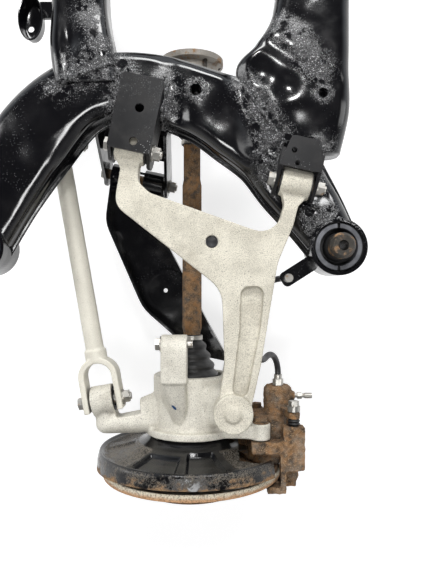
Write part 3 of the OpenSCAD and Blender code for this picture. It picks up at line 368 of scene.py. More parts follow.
class Value:
    """What a shader node gives, with arithmetic that adds maths nodes to its sheet."""

    def __init__(self, sheet: "Sheet", socket: Socket) -> None:
        """Keeps the sheet and the node's socket."""
        self.sheet = sheet
        self.socket = socket

    def __add__(self, other: object) -> "Value":
        """The sum."""
        return self.sheet.maths("ADD", self, other)

    def __sub__(self, other: object) -> "Value":
        """The difference."""
        return self.sheet.maths("SUBTRACT", self, other)

    def __mul__(self, other: object) -> "Value":
        """The product."""
        return self.sheet.maths("MULTIPLY", self, other)

    def __or__(self, other: object) -> "Value":
        """The greater of the two."""
        return self.sheet.maths("MAXIMUM", self, other)


class Sheet:
    """A shader node tree with short ways to add and join nodes."""

    def __init__(self, tree: Tree) -> None:
        """Keeps the tree that nodes go into."""
        self.tree = tree

    @cached_property
    def where(self) -> Value:
        """The object's own coordinates."""
        return self.add("ShaderNodeTexCoord")["Object"]

    def add(self, kind: str, **settings: object) -> dict[str, Value]:
        """Adds a node and sets its named properties and inputs.

        Args:
            kind: the node's type name.
            settings: properties by name, or inputs by name with spaces written as underscores.

        Returns:
            The node's outputs by name.
        """
        node = self.tree.nodes.new(kind)
        for key, value in settings.items():
            if hasattr(node, key):
                setattr(node, key, value)
            else:
                self.feed(node.inputs[key.replace("_", " ")], value)
        return {out.name: Value(self, out) for out in node.outputs}

    def feed(self, socket: Socket, value: object) -> None:
        """Links a value to a socket, or sets the socket to a constant.

        Args:
            socket: a node's input.
            value: another node's value, a number or a colour.
        """
        if isinstance(value, Value):
            self.tree.links.new(value.socket, socket)
        elif isinstance(value, tuple) and socket.type == "RGBA":
            socket.default_value = (*value, 1.0)
        else:
            socket.default_value = value

    def plain(self, kind: str, inputs: dict[int, object], output: int = 0, **settings: object) -> Value:
        """Adds a node whose sockets share names, so that they go by number.

        Args:
            kind: the node's type name.
            inputs: values by input number.
            output: number of the output to use.
            settings: properties by name.

        Returns:
            The chosen output.
        """
        node = self.tree.nodes.new(kind)
        for key, value in settings.items():
            setattr(node, key, value)
        for index, value in inputs.items():
            self.feed(node.inputs[index], value)
        return Value(self, node.outputs[output])

    def maths(self, operation: str, a: object, b: object = 0.0, clamp: bool = False) -> Value:
        """The result of a maths node of two inputs."""
        return self.plain("ShaderNodeMath", {0: a, 1: b}, operation=operation, use_clamp=clamp)

    def ramp(self, value: object, low: object, high: object, start: object = 0.0, end: object = 1.0) -> Value:
        """Maps low..high smoothly to start..end, clamped."""
        steps = dict(enumerate((value, low, high, start, end)))
        return self.plain("ShaderNodeMapRange", steps, interpolation_type="SMOOTHSTEP")

    def mix(self, share: object, a: object, b: object) -> Value:
        """Mixes two colours by a share."""
        return self.plain("ShaderNodeMix", {0: share, 6: a, 7: b}, 2, data_type="RGBA")

    def noise(self, scale: object, detail: float = 4.0, rough: float = 0.55, at: Optional[Value] = None) -> Value:
        """Cloud noise from 0 to 1, at the object's own coordinates unless told otherwise."""
        at = at or self.where
        return self.add("ShaderNodeTexNoise", Vector=at, Scale=scale, Detail=detail, Roughness=rough)["Fac"]

    def split(self, vector: Value) -> tuple[Value, ...]:
        """X, Y and Z of a vector."""
        return tuple(self.add("ShaderNodeSeparateXYZ", Vector=vector).values())

    def mask(self, name: str) -> Value:
        """A mask that is stored on the piece's points."""
        return self.add("ShaderNodeAttribute", attribute_name=name)["Fac"]

    def group(self, tree: Tree, **values: object) -> dict[str, Value]:
        """A shared group with its own input values, as its outputs by name."""
        return self.add("ShaderNodeGroup", node_tree=tree, **values)

    def seen(self) -> Value:
        """1 for what the eye sees, also by reflection or through glass, and 0 for light that falls on the part."""
        ray = self.add("ShaderNodeLightPath")
        return ray["Is Camera Ray"] | ray["Is Glossy Ray"] | ray["Is Transmission Ray"]


class Skin(Sheet):
    """The sheet of one new material."""

    def __init__(self, name: str) -> None:
        """Makes the material with its own shader.

        Args:
            name: the material's name.
        """
        self.material = bpy.data.materials.new(name)
        self.material.use_nodes = True
        super().__init__(self.material.node_tree)
        self.shader = self.tree.nodes["Principled BSDF"]

    def dress(self, height: Optional[Value] = None, strength: float = 0.0, depth: float = 0.0, **inputs: object) -> Mat:
        """Feeds the shader, and a height through a bump node to its normal.

        Args:
            height: the height, if the skin has one.
            strength: strength of the bump.
            depth: depth of the bump in metres.
            inputs: the shader's inputs by name, with spaces written as underscores.

        Returns:
            The material.
        """
        if height is not None:
            inputs["Normal"] = self.add("ShaderNodeBump", Strength=strength, Distance=depth, Height=height)["Normal"]
        for key, value in inputs.items():
            self.feed(self.shader.inputs[key.replace("_", " ")], value)
        return self.material


class Group(Sheet):
    """The sheet of a shader node group that several materials share."""

    def __init__(self, name: str, **takes: float) -> None:
        """Makes the group with its number inputs.

        Args:
            name: the group's name.
            takes: default of each input, by name.
        """
        super().__init__(bpy.data.node_groups.new(name, "ShaderNodeTree"))
        for label, default in takes.items():
            socket = self.tree.interface.new_socket(label, in_out="INPUT", socket_type="NodeSocketFloat")
            socket.default_value = default
        self.takes = self.add("NodeGroupInput")

    def give(self, **values: Value) -> Tree:
        """Feeds the group's outputs: a colour by the name Color, and numbers by any other.

        Args:
            values: what the group gives, by name.

        Returns:
            The finished group.
        """
        for label in values:
            kind = "NodeSocketColor" if label == "Color" else "NodeSocketFloat"
            self.tree.interface.new_socket(label, in_out="OUTPUT", socket_type=kind)
        self.add("NodeGroupOutput", **values)
        return self.tree


def make_grain() -> Tree:
    """Cast or blasted skin: fine and coarse cloud noise.

    Returns:
        The group, which gives a height and a blotch mask.
    """
    s = Group("skin_grain", Fine=900.0, Coarse=40.0)
    fine = s.noise(s.takes["Fine"], 3.0, 0.6)
    coarse = s.noise(s.takes["Coarse"], 6.0, 0.65)
    return s.give(Height=fine * 0.7 + coarse * 0.3, Blotch=s.ramp(coarse, 0.35, 0.68))


def make_speckle() -> Tree:
    """Scattered round specks: cells whose random number passes a share, shown near each cell's middle.

    Returns:
        The group, which gives a mask.
    """
    s = Group("speckle", Scale=300.0, Share=0.4)
    cells = s.add("ShaderNodeTexVoronoi", Vector=s.where, Scale=s.takes["Scale"])
    chance = s.add("ShaderNodeSeparateColor", Color=cells["Color"])["Red"]
    chosen = s.maths("LESS_THAN", chance, s.takes["Share"])
    return s.give(Mask=chosen * s.ramp(cells["Distance"], 0.25, 0.42, 1.0, 0.0))


def make_rust() -> Tree:
    """Surface rust: dark brown to orange by layered noise.

    Returns:
        The group, which gives a colour, a height and a cover mask.
    """
    s = Group("surface_rust", Scale=60.0, Cover=0.5)
    large = s.noise(s.takes["Scale"], 8.0, 0.68)
    small = s.noise(s.takes["Scale"] * 9.0, 5.0, 0.7)
    tone = s.mix(s.ramp(large, 0.36, 0.60), (0.045, 0.031, 0.022), (0.255, 0.140, 0.062))
    tone = s.mix(s.ramp(small, 0.52, 0.68), tone, (0.47, 0.345, 0.215))
    tone = s.mix(s.ramp(small, 0.44, 0.34) * 0.7, tone, (0.040, 0.028, 0.020))
    bare = s.maths("SUBTRACT", 1.0, s.takes["Cover"])
    return s.give(Color=tone, Height=small * 0.55 + large * 0.45, Mask=s.ramp(large - bare * 0.9, -0.02, 0.08))


def make_dust() -> Tree:
    """Road dust: more on faces that look up, broken by noise.

    Returns:
        The group, which gives a mask.
    """
    s = Group("road_dust", Amount=0.4, Scale=25.0)
    facing = s.split(s.add("ShaderNodeNewGeometry")["Normal"])[2]
    cloud = s.ramp(s.noise(s.takes["Scale"], 7.0, 0.66), 0.38, 0.72)
    lying = s.ramp(facing, -0.2, 0.9, 0.25, 1.0)
    return s.give(Mask=s.maths("MULTIPLY", cloud * lying, s.takes["Amount"], True))


def make_hollow_shade() -> Tree:
    """Painted shade in hollows: as much as Most where a share of sky below Low is open within Reach, and none above
    High.

    Returns:
        The group, which gives a mask.
    """
    s = Group("crevice", Reach=0.02, Low=0.3, High=0.8, Most=0.7)
    sky = s.add("ShaderNodeAmbientOcclusion", Distance=s.takes["Reach"], samples=4)["AO"]
    return s.give(Mask=s.ramp(sky, s.takes["Low"], s.takes["High"], s.takes["Most"], 0.0))


GRAIN = make_grain()
SPECKLE = make_speckle()
RUST = make_rust()
DUST = make_dust()
HOLLOW_SHADE = make_hollow_shade()


# Finishes


@dataclass(frozen=True)
class BlackPaint:
    """Gloss black paint over wavy pressed steel, with a few pale flecks and with pale spatter by the welds and holes;
    the pale specks are partly painted glints.
    """

    name: str = "black_paint"
    tone: Colour = (0.0026, 0.0026, 0.0036)
    dust: float = 0.02
    roughness: float = 0.12
    waves: float = 1.0
    flecks: float = 0.22
    shine: float = 0.8
    # the dust's colour
    dirt_and_shade_tone: Colour = (0.125, 0.115, 0.105)
    # pale speck colour: partly weld spatter and flecks, partly painted glints
    speck_and_glint_tone: Colour = (0.56, 0.56, 0.57)

    def build(self) -> Mat:
        """Paint, dust, flecks in patches, and spatter and crust where the piece's weld mask says; the pale colour of
        flecks and spatter stands partly for painted glints.

        Returns:
            The material.
        """
        s = Skin(self.name)
        dust = s.group(DUST, Amount=self.dust, Scale=34.0)["Mask"]
        patch = s.ramp(s.noise(13.0, 5.0, 0.6), 0.50, 0.66)
        fleck = s.group(SPECKLE, Scale=620.0, Share=0.13)["Mask"] * patch * self.flecks
        broken = s.mask("weld_near") * s.ramp(s.noise(58.0, 6.0, 0.7), 0.44, 0.56)
        specks = s.group(SPECKLE, Scale=430.0, Share=0.5)["Mask"]
        fine = s.group(SPECKLE, Scale=950.0, Share=0.4)["Mask"]
        spatter = broken * (specks | fine * 0.8)
        # flecks and spatter take the pale colour: partly real spatter, partly painted glints
        tone = s.mix(spatter | fleck, s.mix(dust, self.tone, self.dirt_and_shade_tone), self.speck_and_glint_tone)
        gloss = s.ramp(s.noise(30.0, 6.0, 0.6), 0.35, 0.8, self.roughness, self.roughness + 0.10)
        gloss = s.maths("ADD", gloss, dust * 0.6 + broken * 0.22, True)
        wave, peel = s.noise(26.0, 1.0, 0.4), s.noise(420.0, 2.0, 0.5)
        crust = broken * s.noise(300.0, 4.0, 0.7)
        height = wave * (2.2 * self.waves) + peel * 0.05 + (spatter * 0.5 + crust)
        return s.dress(height, 0.6, 0.0011, Base_Color=tone, Roughness=gloss, Specular_IOR_Level=self.shine)


@dataclass(frozen=True)
class CastAlloy:
    """Cast aluminium: a grainy, mottled, pale warm grey skin with dark pits, brown stains and painted shade in the
    hollows.
    """

    name: str = "cast_alloy"
    tone: Colour = (0.80, 0.76, 0.645)
    shade: Colour = (0.34, 0.315, 0.255)
    stain: float = 0.32
    fine: float = 700.0
    bump: float = 0.6
    metal: float = 0.12
    pits: float = 0.8
    pit_tone: Colour = (0.11, 0.10, 0.085)
    stain_tone: Colour = (0.27, 0.225, 0.16)
    # colour of the painted shade in the hollows
    dirt_and_shade_tone: Colour = (0.15, 0.132, 0.105)

    def colour(self, s: Skin, grain: dict[str, Value]) -> Value:
        """The skin's colour.

        Args:
            s: the material's sheet.
            grain: the skin's grain.

        Returns:
            The colour.
        """
        mottle = s.ramp(s.noise(self.fine * 0.95, 5.0, 0.75), 0.36, 0.56)
        tone = s.mix(grain["Blotch"] * 0.35 + mottle * 0.65, self.shade, self.tone)
        pits = s.ramp(s.noise(self.fine * 0.75, 2.0, 0.5), 0.35, 0.30)
        tone = s.mix(pits * self.pits, tone, self.pit_tone)
        brown = s.ramp(s.noise(14.0, 7.0, 0.7), 0.50, 0.74)
        tone = s.mix(brown * self.stain, tone, self.stain_tone)
        # painted shade: darker where little sky is open within reach
        hollow_shade = s.group(HOLLOW_SHADE, Reach=0.018, Low=0.25, High=0.85, Most=0.65)["Mask"]
        return s.mix(hollow_shade, tone, self.dirt_and_shade_tone)

    def build(self) -> Mat:
        """The colour over a bumpy, half dull skin.

        Returns:
            The material.
        """
        s = Skin(self.name)
        grain = s.group(GRAIN, Fine=self.fine, Coarse=26.0)
        return s.dress(grain["Height"], self.bump, 0.0010, Base_Color=self.colour(s, grain), Metallic=self.metal,
                       Roughness=s.ramp(grain["Height"], 0.3, 0.7, 0.42, 0.62))


@dataclass(frozen=True)
class MarkedAlloy(CastAlloy):
    """The wheel carrier's cast alloy, with one slanting dab of blue paint on its upper side."""

    name: str = "marked_alloy"
    dab: tuple = (0.0226, -0.646, 0.0036)
    stretch: tuple = (1.5, 0.6)
    above: float = -0.115
    blue: Colour = (0.012, 0.055, 0.16)

    def colour(self, s: Skin, grain: dict[str, Value]) -> Value:
        """The alloy's colour, blue inside a ragged slanting oval.

        Args:
            s: the material's sheet.
            grain: the skin's grain.

        Returns:
            The colour.
        """
        x, y, z = s.split(s.where)
        across, along = x - self.dab[0], y - self.dab[1]
        slant, length = (across + along) * self.stretch[0], (across - along) * self.stretch[1]
        r = s.maths("SQRT", slant * slant + length * length) + (s.noise(300.0) - 0.5) * 0.003
        inside = s.ramp(r, self.dab[2], self.dab[2] + 0.0012, 1.0, 0.0)
        return s.mix(inside * s.maths("GREATER_THAN", z, self.above), super().colour(s, grain), self.blue)


@dataclass(frozen=True)
class RustyIron:
    """Cast iron or steel with surface rust, thick or broken, over dark metal, with fresh rust and painted shade in the
    crevices.
    """

    name: str = "rusty_iron"
    cover: float = 0.8
    scale: float = 60.0
    metal_tone: Colour = (0.20, 0.185, 0.165)
    bump: float = 0.9
    dust: float = 0.4
    fresh_tone: Colour = (0.36, 0.175, 0.060)
    dust_tone: Colour = (0.42, 0.36, 0.29)
    # colour of the painted shade in the hollows
    dirt_and_shade_tone: Colour = (0.020, 0.015, 0.011)

    def build(self) -> Mat:
        """Rust over metal, then fresh rust, dust and painted shade in the hollows.

        Returns:
            The material.
        """
        s = Skin(self.name)
        rust = s.group(RUST, Scale=self.scale, Cover=self.cover)
        dust = s.group(DUST, Amount=self.dust, Scale=55.0)["Mask"]
        tone = s.mix(rust["Mask"], self.metal_tone, rust["Color"])
        fresh = s.ramp(s.noise(42.0, 7.0, 0.7), 0.52, 0.60) * rust["Mask"]
        tone = s.mix(dust, s.mix(fresh * 0.6, tone, self.fresh_tone), self.dust_tone)
        # painted shade: near black where little sky is open within reach
        hollow_shade = s.group(HOLLOW_SHADE, Reach=0.022, Low=0.30, High=0.80, Most=0.85)["Mask"]
        tone = s.mix(hollow_shade, tone, self.dirt_and_shade_tone)
        return s.dress(rust["Height"], self.bump, 0.0026, Base_Color=tone,
                       Metallic=s.ramp(rust["Mask"], 0.1, 0.7, 0.7, 0.0),
                       Roughness=s.ramp(rust["Mask"], 0.0, 1.0, 0.45, 0.9))


@dataclass(frozen=True)
class PlatedSteel:
    """Dull zinc plate with brown freckles of rust."""

    name: str = "zinc"
    tone: Colour = (0.46, 0.445, 0.41)
    worn: float = 0.72
    cover: float = 0.36
    roughness: float = 0.38

    def build(self) -> Mat:
        """Two greys in blotches, with rust freckles over them.

        Returns:
            The material.
        """
        s = Skin(self.name)
        rust = s.group(RUST, Scale=110.0, Cover=self.cover)
        grain = s.group(GRAIN, Fine=900.0, Coarse=60.0)
        tone = s.mix(grain["Blotch"], tuple(self.worn * c for c in self.tone), self.tone)
        return s.dress(grain["Height"], 0.25, 0.0006, Base_Color=s.mix(rust["Mask"] * 0.8, tone, rust["Color"]),
                       Metallic=s.ramp(rust["Mask"], 0.1, 0.8, 0.85, 0.1),
                       Roughness=s.ramp(rust["Mask"], 0.0, 1.0, self.roughness, 0.85))


@dataclass(frozen=True)
class Rubber:
    """Matt black rubber with a bloom of dust."""

    name: str = "rubber"
    tone: Colour = (0.0060, 0.0060, 0.0062)
    dust: float = 0.08
    roughness: float = 0.42
    dust_tone: Colour = (0.15, 0.135, 0.115)

    def build(self) -> Mat:
        """Black with dust, dull in blotches.

        Returns:
            The material.
        """
        s = Skin(self.name)
        dust = s.group(DUST, Amount=self.dust, Scale=55.0)["Mask"]
        grain = s.group(GRAIN, Fine=1100.0, Coarse=50.0)
        return s.dress(grain["Height"], 0.3, 0.0006, Base_Color=s.mix(dust, self.tone, self.dust_tone),
                       Roughness=s.ramp(grain["Blotch"], 0.0, 1.0, self.roughness, self.roughness + 0.2))


@dataclass(frozen=True)
class BushRubber:
    """Black rubber of a body mount, with a dull grey end ring where the mount's mask says."""

    name: str = "bush_rubber"
    tone: Colour = (0.008, 0.008, 0.0085)
    greys: tuple[Colour, Colour] = ((0.085, 0.088, 0.098), (0.17, 0.175, 0.19))

    def build(self) -> Mat:
        """Black, or two greys in blotches on the ring.

        Returns:
            The material.
        """
        s = Skin(self.name)
        ring = s.mask("end_ring")
        grain = s.group(GRAIN, Fine=700.0, Coarse=50.0)
        return s.dress(grain["Height"], 0.3, 0.0008, Roughness=s.ramp(ring, 0.0, 1.0, 0.55, 0.40),
                       Base_Color=s.mix(ring, self.tone, s.mix(grain["Blotch"], *self.greys)))


@dataclass(frozen=True)
class SweptDisc:
    """Cast iron disc: bright grey steel where the pads sweep, thick rust on the rim, hat and inner edge."""

    name: str = "swept_disc"
    axis: tuple = (0.047, -0.138)
    band: tuple = (0.092, 0.139)
    rim: tuple = (0.143, 0.1445)
    seam: float = -0.7605
    blur: float = 0.003
    rim_tones: tuple[Colour, Colour] = ((0.62, 0.36, 0.19), (0.88, 0.80, 0.64))
    steel_tones: tuple[Colour, Colour] = ((0.30, 0.285, 0.265), (0.44, 0.42, 0.39))

    def build(self) -> Mat:
        """A ragged ring of turned steel on the flat faces, and rust elsewhere, paler on the rim.

        Returns:
            The material.
        """
        s = Skin(self.name)
        x, y, z = s.split(s.where)
        across, up = x - self.axis[0], z - self.axis[1]
        r = s.maths("SQRT", across * across + up * up)
        facing = s.split(s.add("ShaderNodeNewGeometry")["Normal"])[1]
        flat = s.ramp(s.maths("ABSOLUTE", facing), 0.7, 0.95)
        ragged = r + (s.noise(90.0) - 0.5) * 0.010
        low, high = self.band
        inside = s.ramp(ragged, low, low + self.blur) * s.ramp(ragged, high, high + self.blur, 1.0, 0.0)
        bright = inside * flat * s.ramp(s.noise(45.0, 6.0, 0.7), 0.26, 0.5)
        rust = s.group(RUST, Scale=75.0, Cover=0.95)
        cloud = (s.noise(70.0, 7.0, 0.7) - 0.5) * 0.010
        pale = s.mix(s.ramp(y + cloud, self.seam - self.blur, self.seam + self.blur), *self.rim_tones)
        outer = s.ramp(r, *self.rim) * s.ramp(s.noise(420.0, 4.0, 0.7), 0.36, 0.54, 0.25, 1.0)
        rings = s.noise(1400.0, 2.0, at=s.add("ShaderNodeCombineXYZ", X=r, Y=y)["Vector"])
        coat, steel = s.mix(outer, rust["Color"], pale), s.mix(rings, *self.steel_tones)
        return s.dress(rust["Height"] * 0.8 + rings * 0.1, 0.6, 0.0012, Base_Color=s.mix(bright, coat, steel),
                       Metallic=bright * 0.85, Roughness=s.ramp(bright, 0.0, 1.0, 0.9, 0.34))


@dataclass(frozen=True)
class DustyShield:
    """Gloss black sheet with road dust where it settles and rust at the rim, as the shield's own masks say."""

    name: str = "dusty_shield"
    tone: Colour = (0.004, 0.004, 0.005)
    # the dust's colour
    dirt_and_shade_tone: Colour = (0.20, 0.175, 0.14)
    ruddy: Colour = (0.40, 0.26, 0.14)
    shine: float = 0.45

    def build(self) -> Mat:
        """Paint, gritty dust and rust, both broken up by one cloud noise.

        Returns:
            The material.
        """
        s = Skin(self.name)
        lie, rim = s.mask("dust_lie"), s.mask("rim_rust")
        cloud, grit = s.noise(36.0, 8.0, 0.72), s.noise(520.0, 4.0, 0.7)
        dust = s.ramp(lie + (cloud - 0.5) * 1.6, 0.30, 0.66) * s.ramp(grit, 0.42, 0.58)
        rust = s.group(RUST, Scale=85.0, Cover=0.85)
        spots = s.ramp(s.noise(120.0, 6.0, 0.75), 0.62, 0.70) * s.ramp(lie, 0.1, 0.6)
        worn = s.ramp(rim + (cloud - 0.5) * 1.3, 0.42, 0.62) | spots
        ruddy = s.mix(s.ramp(grit, 0.46, 0.64), rust["Color"], self.ruddy)
        tone = s.mix(worn, s.mix(dust, self.tone, self.dirt_and_shade_tone), ruddy)
        cover = worn | dust
        return s.dress(cloud * 0.5 + cover * (grit * 0.5), 0.6, 0.0014, Base_Color=tone,
                       Roughness=s.ramp(cover, 0.0, 0.7, 0.13, 0.85), Specular_IOR_Level=self.shine)


# The welded frame


@dataclass
class WeldedFrame:
    """The two side rails and the two cross members, as smooth pressed shells.

    Stations are given for the left half: along the rail X, Y, width, top and bottom, and along a
    cross member Y, X, width, top and bottom, all in millimetres.
    """

    rail: tuple = (
        (-270, -400, 84, -34, -94), (-235, -310, 118, -30, -92), (-190, -240, 128, -18, -90),
        (-130, -182, 114, -9, -86), (-65, -160, 102, -8, -80), (0, -165, 106, -8, -78),
        (65, -186, 112, -9, -78), (120, -212, 128, -13, -82), (170, -248, 128, -27, -90),
        (205, -300, 116, -47, -96), (240, -350, 100, -40, -96), (270, -400, 84, -34, -94))
    front: tuple = (
        (-164, -100, 96, 1, -70), (-110, -108, 92, 3, -70), (-60, -112, 82, 0, -70), (0, -113, 78, -2, -70))
    rear: tuple = (
        (-260, 214, 120, -26, -84), (-200, 210, 150, -14, -80), (-140, 200, 166, -8, -76),
        (-105, 214, 138, -6, -76), (-65, 226, 114, -6, -76), (0, 231, 104, -6, -76))
    lip: float = 7.0
    lip_thick: float = 5.0
    lip_round: float = 1.4
    seam: float = 24.0
    draft: float = 6.0
    top_round: float = 20.0
    low_round: float = 14.0
    crown: float = 2.0
    box_round: float = 20.0
    mount: tuple = (270.0, 400.0)
    housing: tuple = (42.5, -98.0, -30.0)
    bore: tuple = (38.0, -118.0, -10.0)
    rail_holes: tuple = ((58, -175, 8.5), (227, -347, 7.0))
    rail_reach: tuple = (-45.0, 80.0)
    cross_hole: tuple = (243, -178, 7.0)
    cross_reach: tuple = (-40.0, 80.0)
    fold: tuple = ((-146.0, -235.0), (-66.0, -171.0), 8.0, 42.0)
    troughs: tuple = (
        ((112, -146), (142, -250), 7.0, 15.0), ((162, -108), (262, -166), 2.6, 11.0),
        ((150, -186), (164, -262), 5.0, 11.0), ((-128, -40), (-124, -150), 4.0, 12.0),
        ((18, -128), (34, -214), 4.0, 14.0), ((206, -300), (236, -322), 4.0, 12.0))
    dents: tuple = (
        (152, -148, 20, 3.2), (190, -168, 17, 2.6), (100, -201, 24, 3.0), (205, -222, 20, 2.6), (226, -262, 24, 3.0),
        (-8, -138, 26, 2.0), (214, -62, 30, 2.4), (-206, -262, 24, 2.2), (-118, -104, 18, 2.2), (-92, -60, 26, 2.0),
        (30, -208, 20, 2.4), (252, -318, 20, 2.0))
    dent_gain: float = 1.7
    fade: float = 40.0
    shells: dict = field(default_factory=dict)

    def rail_half(self, w: Array, top: Array, low: Array) -> Array:
        """Half section of a rail for each station: low corner, wall, weld flange, wall, top corner and crown.

        Args:
            w: width of each station.
            top: top of each station.
            low: bottom of each station.

        Returns:
            Offset from the middle and height, for each station and each point.
        """
        inner, upper = w / 2 - self.lip, w / 2 - self.draft
        seam, thick, round_ = low + self.seam, self.lip_thick, self.lip_round
        low_turn = np.radians(np.linspace(-90, 0, 7))
        top_turn = np.radians(np.linspace(0, 90, 11))
        points = [(inner - self.low_round * (1 - math.cos(a)), low + self.low_round * (1 + math.sin(a)))
                  for a in low_turn]
        points += [
            (inner, seam - 2), (inner + 2, seam), (w / 2 - round_, seam), (w / 2, seam + round_),
            (w / 2, seam + thick - round_), (w / 2 - round_, seam + thick), (inner + 3, seam + thick),
            (inner + 1, seam + thick + 2)]
        points += [(upper - self.top_round * (1 - math.cos(a)), top - self.top_round * (1 - math.sin(a)))
                   for a in top_turn]
        flat = upper - self.top_round
        points += [(flat * f, top + self.crown * (1 - f * f)) for f in np.linspace(1, 0, 17)[1:-1]]
        return np.stack([np.stack(np.broadcast_arrays(*p), axis=-1) for p in points], axis=1)

    def rail_shell(self, side: Side) -> Obj:
        """One side rail: its section carried along a smooth plan curve, with the two mount housings added.

        Args:
            side: which side of the car.

        Returns:
            The rail's shell.
        """
        stations = np.array(self.rail, float)
        s = catmull(stations, np.linspace(0, len(stations) - 1, 300))
        heading = unit(np.gradient(s[:, :2], axis=0))
        half = self.rail_half(s[:, 2], s[:, 3], s[:, 4])
        mid = np.stack([np.zeros(len(s)), s[:, 3] + self.crown], axis=-1)[:, None]
        section = np.concatenate([half, mid, half[:, ::-1] * np.array([-1, 1])], axis=1)
        x = s[:, None, 0] + section[..., 0] * heading[:, None, 1]
        y = s[:, None, 1] - section[..., 0] * heading[:, None, 0]
        rings = np.stack([x, y, section[..., 1]], axis=-1)
        rings[..., 1] *= -side.value
        shell = mesh_piece(f"rail_{side.name.lower()}", *capped(rings * MM))
        for end in (-1, 1):
            spot = end * self.mount[0], side.value * self.mount[1]
            shell = changed(shell, bar_piece(*spot, *self.housing), Change.JOIN)
            shell = changed(shell, bar_piece(*spot, *self.bore), Change.CUT)
        for hx, hy, r in self.rail_holes:
            shell = changed(shell, bar_piece(hx, -side.value * hy, r, *self.rail_reach), Change.CUT)
        return self.pressed(shell)

    def pressed(self, shell: Obj) -> Obj:
        """Presses the stamped forms into the upper side of a shell.

        Each upward point sinks by a slope that starts at the fold line and runs out to its outer side,
        plus a bell curve of the distance to each trough's line and to each dent. Both sides of the car are
        pressed alike.

        Args:
            shell: a rail or a cross member.

        Returns:
            The same shell.
        """
        p = positions(shell)
        plan = np.stack([p[:, 0], -np.abs(p[:, 1])], axis=-1) / MM
        (start, end), (deep, run) = np.array(self.fold[:2]), self.fold[2:]
        length = np.linalg.norm(end - start)
        along = (end - start) / length
        across = np.array([along[1], -along[0]])
        u, v = (plan - start) @ along, (plan - start) @ across
        reach = soft_step((u + self.fade) / self.fade) * soft_step((length + self.fade - u) / self.fade)
        sink = deep * np.clip(v / run, 0, 1) * reach
        for start, end, deep, wide in self.troughs:
            a, run = np.array(start, float), np.array(end, float) - start
            share = np.clip((plan - a) @ run / (run @ run), 0, 1)[:, None]
            sink += deep * np.exp(-(((plan - a - share * run) ** 2).sum(axis=1)) / wide**2)
        for x, y, r, d in self.dents:
            sink += self.dent_gain * d * np.exp(-((plan[:, 0] - x) ** 2 + (plan[:, 1] - y) ** 2) / r**2)
        p[:, 2] -= sink * soft_step((point_data(shell, "normal")[:, 2] - 0.25) / 0.6) * MM
        shell.data.vertices.foreach_set("co", p.ravel())
        shell.data.update()
        return shell

    def cross_shell(self, name: str, stations: tuple) -> Obj:
        """One cross member: a rounded box section carried from rail to rail, mirrored about the middle.

        Args:
            name: the piece's name.
            stations: the left half's stations.

        Returns:
            The cross member's shell.
        """
        p = np.array(stations, float)
        half = catmull(p, np.linspace(0, len(p) - 1, 90))
        s = np.concatenate([half, half[-2::-1] * np.array([-1, 1, 1, 1, 1])])
        r = self.box_round
        turn, su, sv = self.box_loop()
        u = r * np.cos(turn) + (s[:, 2:3] / 2 - r) * su
        v = r * np.sin(turn) + ((s[:, 3:4] - s[:, 4:5]) / 2 - r) * sv
        mid = (s[:, 3:4] + s[:, 4:5]) / 2
        rings = np.stack([s[:, 1:2] + u, np.broadcast_to(s[:, :1], u.shape), mid + v], axis=-1)
        shell = mesh_piece(name, *capped(rings * MM))
        if stations is self.rear:
            for side in Side:
                x, y, hole = self.cross_hole
                shell = changed(shell, bar_piece(x, -side.value * y, hole, *self.cross_reach), Change.CUT)
        return self.pressed(shell)

    @staticmethod
    def box_loop() -> tuple[Array, Array, Array]:
        """A rounded box as one loop: the corner's angle, and the shares of half the width and height at each point.

        Returns:
            Angle, width share and height share, each as one row.
        """
        corner = np.linspace(0, 90, 10)
        signs = ((1, 1), (-1, 1), (-1, -1), (1, -1))
        turn, su, sv = [], [], []
        for k, (a, b) in enumerate(signs):
            c, d = signs[(k + 1) % 4]
            steps = np.linspace(0, 1, 26 if k == 0 else 8)[1:-1]
            turn.append(np.concatenate([corner + 90 * k, np.full(len(steps), 90.0 * (k + 1))]))
            su.append(np.concatenate([np.full(10, a), a + (c - a) * steps]))
            sv.append(np.concatenate([np.full(10, b), b + (d - b) * steps]))
        return np.radians(np.concatenate(turn)), np.concatenate(su), np.concatenate(sv)

    def build(self) -> None:
        """Makes the four shells and says which solids they stand for."""
        for side in Side:
            self.shells[f"side_rail_{side.name.lower()}"] = self.rail_shell(side)
        self.shells["front_cross_member"] = self.cross_shell("front_cross", self.front)
        self.shells["rear_cross_member"] = self.cross_shell("rear_cross", self.rear)
        for node, shell in self.shells.items():
            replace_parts(shell, node)

    def surface(self) -> BVHTree:
        """A search tree over the four shells, for laying weld beads on them.

        Returns:
            The tree.
        """
        work = bmesh.new()
        for shell in self.shells.values():
            work.from_mesh(shell.data)
        tree = BVHTree.FromBMesh(work)
        work.free()
        return tree


